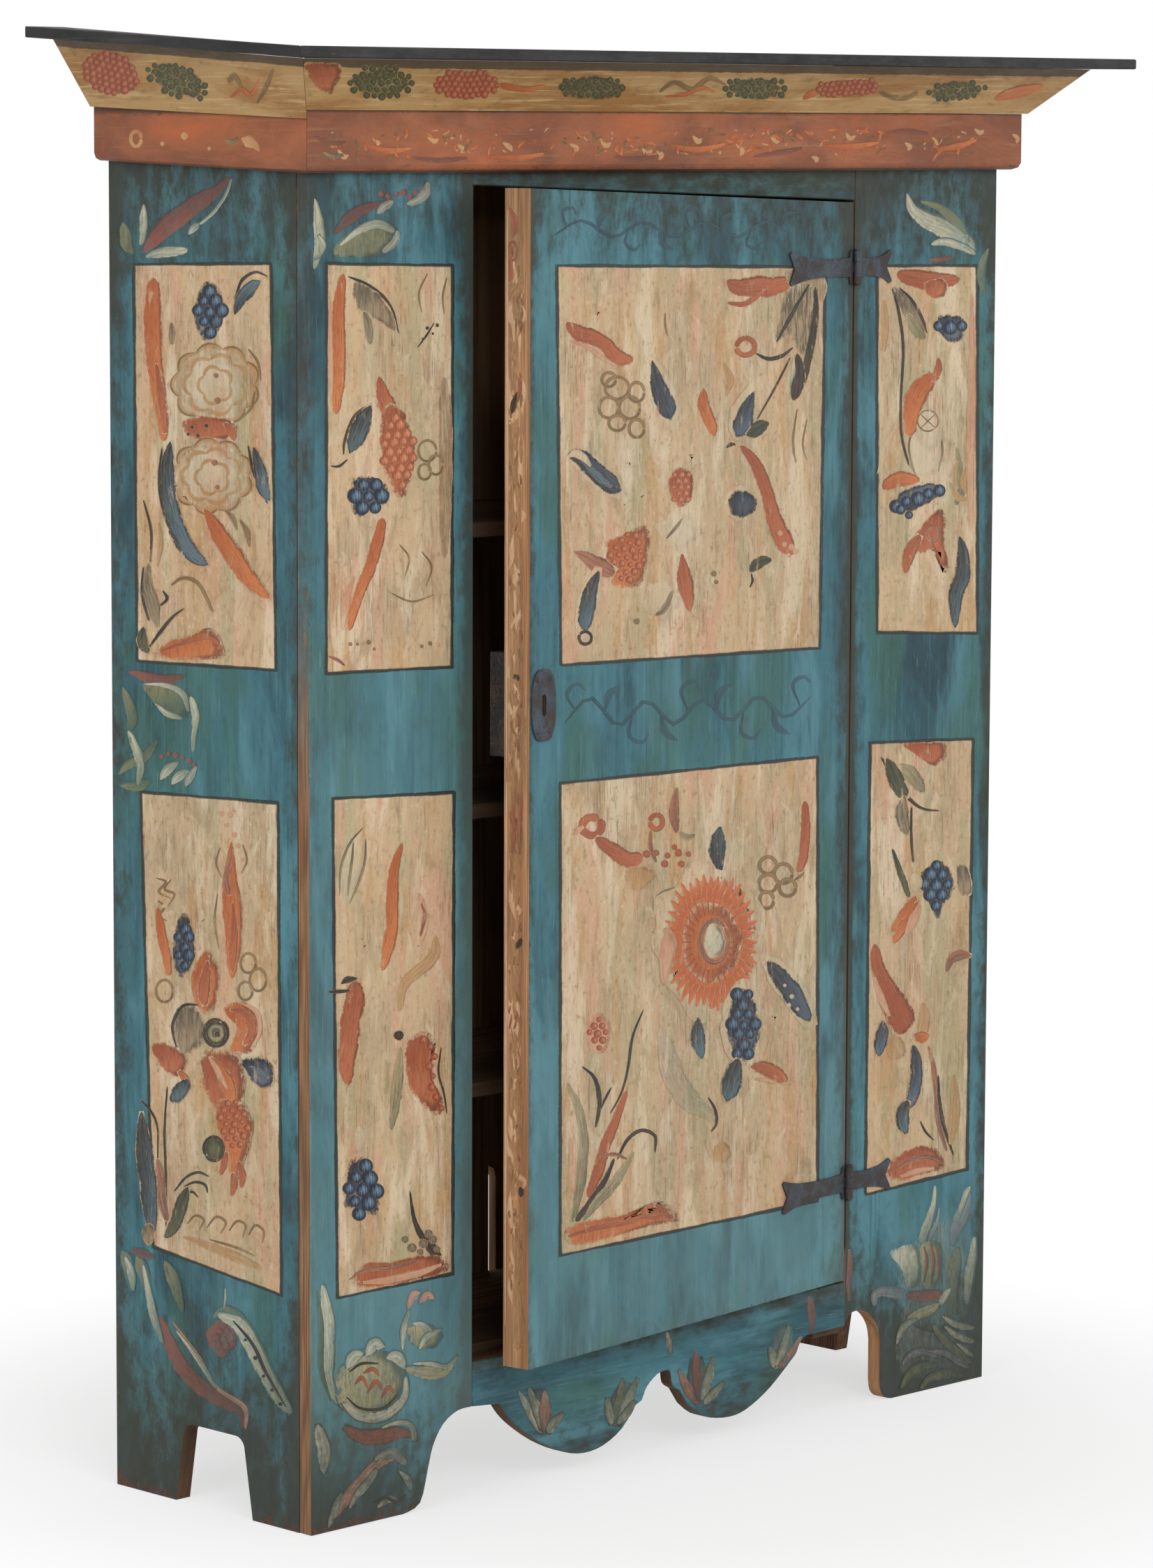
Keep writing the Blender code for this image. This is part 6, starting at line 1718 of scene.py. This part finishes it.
edgeCorners = ((731, 290), (750, 290), (747, 1910), (728, 1910))
doorEdgeMarks = {
    "edgeDark": strokes("stain", "4 8 6 9 5", "732 300 736 420 732 560 738 700 734 860",
        "734 1080 738 1240 734 1400 740 1560 736 1720", "746 900 742 960 746 1040 744 1100",
        "744 1740 741 1820 744 1890 742 1936"),
    "chalky": flecks("dustyPale", 60, 22, edgeCorners, 11, 0.05),
    "brownStains": flecks("stain", 110, 24, edgeCorners, 12, 0.06, 0.12),
    "oliveStains": flecks("olive", 46, 9, edgeCorners, 14, 0.15),
    "brickStains": flecks("brick", 30, 8, edgeCorners, 13, 0.12),
    "redTop": strokes("brick", "2 5 4 1", "730 296 736 312 738 328 734 342",
        "729 404 732 396 731 380 733 366", tones=(0, 0.5)),
    "topRing": ring("brick", (735, 360), (6, 13), 1.8),
    "darkStreak": stroke("stain", "1 4 4 1", "728 434 734 420 742 410 746 400"),
    "spots": strokes("dark", "1 4 4 1", "742 560 738 572 735 584 733 594",
        "736 966 740 970 744 976", "748 1344 744 1352 740 1360", "745 1700 747 1708 746 1716"),
    "rustRuns": strokes("brick", "1 3 3 1", "744 540 745 560 741 578",
        "748 1134 746 1170 744 1200 745 1226", "734 1150 737 1190 735 1224", tones=(0.2, 0.7)),
    "paleArris": strokes("pale", "1 1.8 1.8 1", "727 300 727 700 726 1100",
        "726 1120 725 1500 724 1900", tones=(0.4, 0.9)),
}

apronGround = {
    "sprayMist": strokes("mist", "8 16 9", "780 2056 776 2020 772 1990",
        "882 2044 890 2010 898 1980", "1004 2012 1000 1976 998 1944",
        "1112 1962 1120 1930 1126 1900"),
    "sprayOneA": stroke("bone", "5 7 2", "776 2054 758 2022 742 1992", tones=(0, 0.6)),
    "sprayOneB": stroke("bone", "5 7.5 3", "778 2050 768 2018 757 1988"),
    "sprayOneC": stroke("rose", "5 8 3", "780 2052 780 2022 780 1992"),
    "sprayOneD": stroke("bone", "5 7.5 3", "784 2054 794 2038 808 2024"),
    "sprayTwoA": stroke("bone", "5 7.5 3", "880 2042 898 2008 914 1974"),
    "sprayTwoB": stroke("moss", "5 6 2", "878 2040 886 2006 892 1974", tones=(0.3, 0)),
    "sprayTwoC": stroke("bone", "4 6.5 3", "876 2042 872 2024 870 2002"),
    "sprayTwoD": stroke("bone", "4 6.5 3", "884 2040 898 2024 910 2006"),
    "peakTick": stroke("bone", "2 5 3", "956 1908 959 1924 961 1940"),
    "sprayThreeA": stroke("rose", "5 7 2", "1000 2012 984 1988 972 1962"),
    "sprayThreeB": stroke("brick", "5 7 2", "1002 2008 998 1972 996 1934", tones=(0, 0)),
    "sprayThreeC": stroke("bone", "5 7.5 3", "1006 2008 1014 1976 1022 1944"),
    "sprayThreeD": stroke("bone", "4 6.5 3", "1008 2012 1022 1996 1038 1980"),
    "sprayFourA": stroke("bone", "4 6 2", "1110 1962 1122 1930 1130 1898"),
    "sprayFourB": stroke("bone", "4 6.5 3", "1108 1960 1106 1942 1102 1930"),
    "sprayFourC": stroke("rose", "4 5 2", "1116 1960 1134 1938 1148 1914"),
    "redTouch": stroke("brick", "3 6 5 2", "1160 1858 1163 1878 1164 1896 1160 1912"),
}

stileRightGround = {
    "crownLeaf": stroke("bone", "2 8 13 15 12 5",
        "1299 276 1308 300 1330 316 1356 328 1384 346 1398 362", tones=(0, 0.6)),
    "crownLeafUpper": stroke("moss", "2 6 8 4", "1318 288 1344 296 1368 314 1386 334",
        tones=(0, 0.5)),
    "crownLeafLower": stroke("bone", "3 6 6 4", "1334 350 1352 346 1376 352 1398 364",
        tones=(0, 0.5)),
    "crownEdge": stroke("moss", "2 6 6 3", "1416 356 1408 378 1406 400 1412 424", tones=(0.2, 0.8)),
    "crownRed": stroke("brick", "2 4 2", "1330 372 1346 372 1366 368"),
    "gapRed": stroke("brick", "2 4 4 2", "1217 1790 1218 1816 1216 1840 1217 1864",
        tones=(0.2, 0.8)),
    "footHaze": patch("mist", (1322, 1930),
        "1290 1886 1306 1850 1350 1870 1388 1910 1386 1960 1330 1980 1286 1960"),
    "leafHaze": patch("mist", (1352, 1830),
        "1334 1760 1366 1740 1394 1780 1392 1860 1386 1910 1350 1910 1300 1890 1284 1810"),
    "tallLeaf": stroke("bone", "2 4 6 7 5", "1340 1698 1338 1722 1332 1746 1325 1766 1320 1782",
        tones=(0.1, 0.9)),
    "tallLeafShade": stroke("lilac", "1 3 4 3", "1346 1730 1342 1752 1334 1772 1328 1788"),
    "broadLeaf": stroke("lilac", "4 9 11 9 4", "1387 1700 1384 1722 1378 1744 1370 1764 1364 1786",
        tones=(0.1, 0.9)),
    "broadLeafTip": stroke("bone", "2 4 4 1", "1390 1700 1384 1712 1378 1730 1372 1752",
        tones=(0.2, 1)),
    "edgeLeaf": stroke("bone", "3 6 7 6 4", "1396 1772 1394 1796 1390 1822 1387 1846 1384 1870",
        tones=(0.3, 1)),
    "greenLeaf": stroke("moss", "3 8 10 8 4", "1372 1786 1370 1808 1366 1832 1364 1856 1370 1884",
        tones=(0.2, 0.8)),
    "leafHeart": patch("straw", (1332, 1812),
        "1316 1790 1332 1776 1348 1786 1350 1826 1340 1846 1320 1844", tones=(0.5, 1)),
    "leafHeartVeins": strokes("brick", "1 2.4 1", "1324 1786 1328 1808 1324 1838",
        "1334 1782 1338 1808 1334 1842", "1342 1788 1346 1810 1344 1836"),
    "leafLeft": patch("bone", (1302, 1814),
        "1274 1795 1296 1786 1316 1786 1318 1838 1300 1846 1290 1818", tones=(0, 0.7)),
    "curl": stroke("lilac", "3 6 8 9 7", "1252 1872 1253 1856 1266 1850 1284 1852 1302 1856",
        tones=(0, 0.8)),
    "curlBrick": stroke("brick", "4 8 9 6", "1296 1856 1314 1857 1332 1856 1350 1854",
        tones=(0.6, 0)),
    "curlTip": stroke("bone", "2 5 5 2", "1362 1846 1356 1854 1350 1864 1346 1872", tones=(0, 0.4)),
    "curlBone": stroke("straw", "3 8 8 6 3", "1346 1868 1332 1878 1314 1886 1298 1898 1290 1912",
        tones=(0, 0.7)),
    "lowArcs": strokes("bone", "2 5 5 2", "1350 1886 1366 1896 1384 1902 1396 1902",
        "1352 1900 1368 1912 1386 1920 1396 1922", "1364 1926 1378 1932 1394 1944",
        "1284 1926 1290 1908 1300 1896 1314 1890", tones=(0.2, 0.9)),
    "greyArcs": strokes("lilac", "2 5 6 3", "1292 1956 1304 1942 1322 1936 1344 1944",
        "1330 1936 1352 1938 1372 1950 1388 1960", tones=(0.2, 0.8)),
    "lowMoss": strokes("moss", "3 6 7 3", "1290 1990 1302 1970 1320 1958 1344 1956",
        "1318 1990 1334 1974 1356 1968 1380 1972", "1336 1898 1348 1914 1366 1932 1392 1954",
        tones=(0, 0.8)),
}

corniceSide = {"surface": "corniceSide", "ground": "bandDeep"}
corniceMotifs = {
    "redSide": {**corniceSide, **blob("crimson", (158, 104), (42, 28), turn=18)},
    "redSideSeeds": {**corniceSide, **bunch("coralBerry", (158, 104), (46, 32), 5.4, turn=18)},
    "greenSide": {**corniceSide, **blob("pineGreen", (254, 115), (40, 20), turn=22)},
    "greenSideLeaves": {**corniceSide, **bunch("pineGreen", (254, 116), (50, 24), 5, gap=2.2,
        turn=22)},
    "ochreA": {**corniceSide, **stroke("olive", "2 4 4 2", "314 104 326 116 336 108 346 126")},
    "ochreB": {**corniceSide, **stroke("orange", "1.5 3 3 1.5", "330 140 346 128 360 136 372 112")},
    "ochreC": {**corniceSide, **stroke("olive", "1.5 4 2", "368 148 380 128 392 98")},
    "redLobe": patch("coral", (462, 108), "440 90 484 92 488 110 474 134 454 126 442 108"),
    "greenA": blob("pineGreen", (546, 118), (44, 20)),
    "greenALeaves": bunch("pineGreen", (546, 118), (52, 26), 5, gap=2.2),
    "redA": blob("crimson", (672, 122), (38, 16)),
    "redASeeds": bunch("coralBerry", (668, 121), (50, 22), 5),
    "redATail": stroke("orange", "5 5 4 2", "716 122 738 126 758 128 782 122"),
    "greenB": blob("pineGreen", (848, 126), (46, 17)),
    "greenBLeaves": bunch("pineGreen", (848, 126), (54, 20), 4.8, gap=2.2),
    "ochreScroll": stroke("olive", "2 4 4 4 2", "944 132 966 118 992 128 1016 112 1040 122"),
    "ochreScrollLow": stroke("orange", "1.5 3 3 1.5", "952 138 980 136 1006 126 1024 132"),
    "greenC": blob("pineGreen", (1082, 127), (38, 16)),
    "greenCLeaves": bunch("pineGreen", (1082, 127), (46, 20), 4.8, gap=2.2),
    "redBTail": stroke("orange", "3 5 4", "1150 142 1160 136 1176 128"),
    "redB": blob("crimson", (1214, 126), (38, 12), turn=-4),
    "redBSeeds": bunch("coralBerry", (1214, 126), (46, 15), 4.6, turn=-4),
    "redBTailRight": stroke("olive", "3 4 4 2", "1260 132 1280 140 1300 140 1316 132"),
    "greenD": blob("pineGreen", (1368, 130), (36, 14), turn=-5),
    "greenDLeaves": bunch("pineGreen", (1370, 130), (46, 16), 4.6, gap=2.2, turn=-5),
    "tanEnd": stroke("orange", "4 9 8 3", "1424 142 1450 134 1474 128 1496 122", tones=(0.6, 1)),
}

friezeSide = {"surface": "friezeSide", "ground": "brickDeep"}
friezeCorners = ((424, 186), (1440, 182), (1440, 222), (424, 228))
friezeMotifs = {
    "hook": {**friezeSide, **ring("fleck", (195, 199), (8, 11), 3)},
    "dot": {**friezeSide, **berries("fleck", (5, 4, 3), "265 195 233 206 300 213")},
    "petal": {**friezeSide, **stroke("fleck", "4 9 6 2", "346 198 356 202 366 208 372 218")},
    "sideShade": {**friezeSide, **stroke("moss", "2 5 2", "322 200 334 204 342 196")},
    "flecks": strokes("fleck", "1.4 4.4 1.4", "484 214 492 224 500 222", "538 200 544 208 541 216",
        "612 196 622 202 628 198", "654 206 664 214 660 220", "720 204 730 210 734 218",
        "816 206 826 212 822 222", "860 202 868 208 876 204", "920 212 928 220 934 214",
        "940 216 948 222 944 230", "992 194 1000 202 1006 198", "1056 208 1064 216 1060 224",
        tones=(0, 0.5)),
    "flecksRight": strokes("fleck", "1.4 4 1.4", "1104 194 1112 202 1118 198",
        "1212 190 1218 198 1226 194", "1162 224 1170 228 1168 234", "1296 204 1304 210 1300 216",
        "1396 184 1404 190 1410 186", "1336 196 1342 204 1350 200", "1450 192 1458 198 1456 206",
        tones=(0, 0.5)),
    "goldDust": flecks("fleck", 60, 4, friezeCorners, 21, 1.2, 0.35),
    "mossDust": flecks("olive", 60, 7, friezeCorners, 22, 1.2, 0.3),
    "brightDust": flecks("orange", 50, 9, friezeCorners, 23, 1.3, 0.3),
    "dabs": strokes("orange", "2 5 2", "520 206 556 216 590 212", "700 224 742 226 780 220",
        "960 208 1000 214 1040 206", "1180 208 1220 210 1260 204", "1340 214 1370 210 1400 200"),
    "shades": strokes("brick", "2 4 2", "450 196 470 204 496 204", "590 226 630 230 670 226",
        "880 224 910 228 940 224", "1080 224 1120 218 1150 212", "1270 190 1300 188 1330 192",
        tones=(0.6, 1)),
    "moss": stroke("moss", "2 4 2", "462 218 478 224 492 222"),
}

paintings = {
    "sidePainting": ({"upper": sideUpper, "lower": sideLower,
                      "ground": sideGround}, "case", "side"),
    "stileLeftPainting": ({"upper": stileLeftUpper, "lower": stileLeftLower,
                           "ground": stileLeftGround}, "case", "front"),
    "stileRightPainting": ({"upper": stileRightUpper, "lower": stileRightLower,
                            "ground": stileRightGround}, "case", "front"),
    "doorPainting": ({"upper": doorUpper, "lower": doorLower,
                      "ground": doorFlourish}, "door", "door"),
    "doorEdgePainting": ({"edgeWood": doorEdgeMarks}, "door", "doorEdge"),
    "apronPainting": ({"ground": apronGround}, "case", "front"),
    "cornicePainting": ({"bandLong": corniceMotifs}, "case", "corniceFront"),
    "friezePainting": ({"brickLong": friezeMotifs}, "case", "friezeFront"),
}
for paintingName, (parts, body, surface) in paintings.items():
    motifs = {}
    for part, entries in parts.items():
        groundName = {"upper": "cream", "lower": "cream", "ground": "blueDirty"}.get(part, part)
        for motifName, motif in entries.items():
            motifs[part + motifName] = {"ground": groundName, **motif}
    makePainting(paintingName, motifs, body, surface, "cream")
    if surface == "side":  # the far side, out of the photo's sight, is painted like this one
        makePainting("farSidePainting", motifs, body, surface, "cream", mirror=True)
print("stage: painted decoration")


# Rose-head nails: on each place a round grid domed by height * sqrt(1 - r r), dented by the
# hammer's facets, and turned to stand on its face

nailDesign = {
    "radius": 0.0048,
    "plateRadius": 0.003,
    "height": 0.0021,
    "facets": 5,
    "dent": 0.16,  # share of the height
    "steps": 9,
    "leafRise": 0.0002,  # metres above the boards, just under the leaves' faces
    "plateRise": 0.0019,
    "heights": (0.300, 1.4755),
    "doorLeaf": ((0.030, 0.0), (0.078, 0.0), (0.119, 0.009), (0.119, -0.009)),  # from the pin, up
    "stileLeaves": (((0.028, 0.0), (0.065, 0.009), (0.065, -0.009)),
                    ((0.026, 0.0), (0.051, 0.009), (0.051, -0.009))),
    "plate": ((0.626, 1.001), (0.650, 1.001), (0.626, 0.939), (0.650, 0.939)),
}


def makeNails(name, design, places, radius, across, out, body):
    x, y = roundGrid(design["steps"])
    around = np.hypot(x, y)
    dent = 1 + design["dent"] * np.cos(design["facets"] * np.arctan2(y, x)) * around
    rise = design["height"] * np.sqrt(np.maximum(1 - around ** 2, 0)) * dent
    up = np.array((0.0, 0.0, 1.0))
    domes = (radius * (x[..., None] * across + y[..., None] * up) + rise[..., None] * out)
    points = np.array(places)[:, None, None] + domes[None]
    quads = gridQuads(design["steps"], design["steps"])[None]
    quads = (quads + (np.arange(len(places)) * domes[..., 0].size)[:, None, None]).reshape(-1, 4)
    points = points.reshape(-1, 3)
    a, b, c = (points[quads[:, corner]] for corner in (0, 1, 2))
    inward = (np.cross(b - a, c - a) @ out) < 0
    quads = np.where(inward[:, None], quads[:, ::-1], quads)
    makePiece(name, points, quads, [ironFinish], body)


def nailPlaces(spots, across, out, height, rise):
    origin = np.array((hingePlace[0], hingePlace[1], 0.0)) - out * (pinProud - rise)
    return [origin + across * away + np.array((0.0, 0.0, height + up)) for away, up in spots]


frontAcross, frontOut = np.array((1.0, 0.0, 0.0)), np.array((0.0, -1.0, 0.0))
doorNails, stileNails = [], []
for height, spots in zip(nailDesign["heights"], nailDesign["stileLeaves"]):
    rise = nailDesign["leafRise"]
    doorNails += nailPlaces(nailDesign["doorLeaf"], -doorAcross, doorOut, height, rise)
    stileNails += nailPlaces(spots, frontAcross, frontOut, height, rise)
plateNails = nailPlaces(nailDesign["plate"], -doorAcross, doorOut, 0.0, nailDesign["plateRise"])
for name, places, radius, across, out, body in (
        ("doorHingeNails", doorNails, "radius", doorAcross, doorOut, "door"),
        ("stileHingeNails", stileNails, "radius", frontAcross, frontOut, "case"),
        ("keyPlateNails", plateNails, "plateRadius", doorAcross, doorOut, "door")):
    makeNails(name, nailDesign, places, nailDesign[radius], across, out, body)
print("stage: nails")


# Floor, lamps and background: even studio light, white to the camera, with a faint shadow

studioDesign = {
    "floorHalf": 14.0,
    "floorColour": shade(238, 238, 238),
    "whiteFrom": 0.45,  # metres from the middle, where the floor starts to fade to plain white
    "whiteTo": 1.2,
    "shadowShare": 0.36,  # how much of the lit floor, against plain white, the camera sees
    "worldStrength": 0.42,
    "lamps": {  # place, width, height, watts
        "keyLamp": ((-2.6, -5.4, 3.6), 4.0, 3.0, 195),
        "sideLamp": ((-6.0, -0.9, 2.9), 3.4, 3.0, 130),
        "fillLamp": ((3.6, -4.4, 2.4), 3.0, 3.0, 55),
    },
    "aimedAt": (0.0, 0.0, 0.85),
}


def seenAsBackground(tree):
    rays = addNode(tree, "LightPath", {}).outputs
    seen = calc(tree, "MAXIMUM", rays["Is Camera Ray"], rays["Is Glossy Ray"])
    return calc(tree, "MAXIMUM", seen, rays["Is Transmission Ray"])


# The far part of the floor is plain white to the camera; nearer, the lit floor shows
def makeFloor(design):
    half = design["floorHalf"]
    corners = np.array([(-half, -half, 0), (half, -half, 0), (half, half, 0), (-half, half, 0)])
    mesh = bpy.data.meshes.new("studioFloor")
    mesh.from_pydata((corners - (0, 0, 0.0005)).tolist(), [], [(0, 1, 2, 3)])
    floor = addObject("studioFloor", mesh)
    material, tree = startMaterial("paleFloor")
    place = objectPlace(tree)
    away = addNode(tree, "VectorMath", {0: place}, operation="LENGTH").outputs["Value"]
    plain = fade(tree, away, design["whiteFrom"], design["whiteTo"], 1 - design["shadowShare"], 1.0)
    plain = calc(tree, "MULTIPLY", plain, seenAsBackground(tree))
    lit = addNode(tree, "BsdfDiffuse", {"Color": design["floorColour"]})
    glow = addNode(tree, "Emission", {"Color": (1, 1, 1, 1), "Strength": 1.0})
    both = addNode(tree, "MixShader", {0: plain})
    tree.links.new(lit.outputs[0], both.inputs[1])
    tree.links.new(glow.outputs[0], both.inputs[2])
    output = addNode(tree, "OutputMaterial", {})
    tree.links.new(both.outputs[0], output.inputs[0])
    mesh.materials.append(material)


def makeLamps(design):
    for name, (place, wide, tall, watts) in design["lamps"].items():
        data = bpy.data.lights.new(name, "AREA")
        data.shape = "RECTANGLE"
        data.size, data.size_y, data.energy = wide, tall, watts
        lamp = addObject(name, data)
        aim = np.array(design["aimedAt"]) - np.array(place)
        back = -aim / np.linalg.norm(aim)
        right = np.cross((0, 0, 1), back)
        right /= np.linalg.norm(right)
        standAt(lamp, place, right, np.cross(back, right), back)


def makeWorld(design):
    world = bpy.data.worlds.new("whiteStudio")
    bpy.context.scene.world = world
    world.use_nodes = True
    tree = world.node_tree
    tree.nodes.clear()
    strength = fade(tree, seenAsBackground(tree), 0.0, 1.0, design["worldStrength"], 1.0)
    background = addNode(tree, "Background", {"Color": (1, 1, 1, 1), "Strength": strength})
    output = addNode(tree, "OutputWorld", {})
    tree.links.new(background.outputs[0], output.inputs[0])


makeFloor(studioDesign)
makeLamps(studioDesign)
makeWorld(studioDesign)
bpy.context.scene.view_settings.view_transform = "Standard"
print("stage: studio")
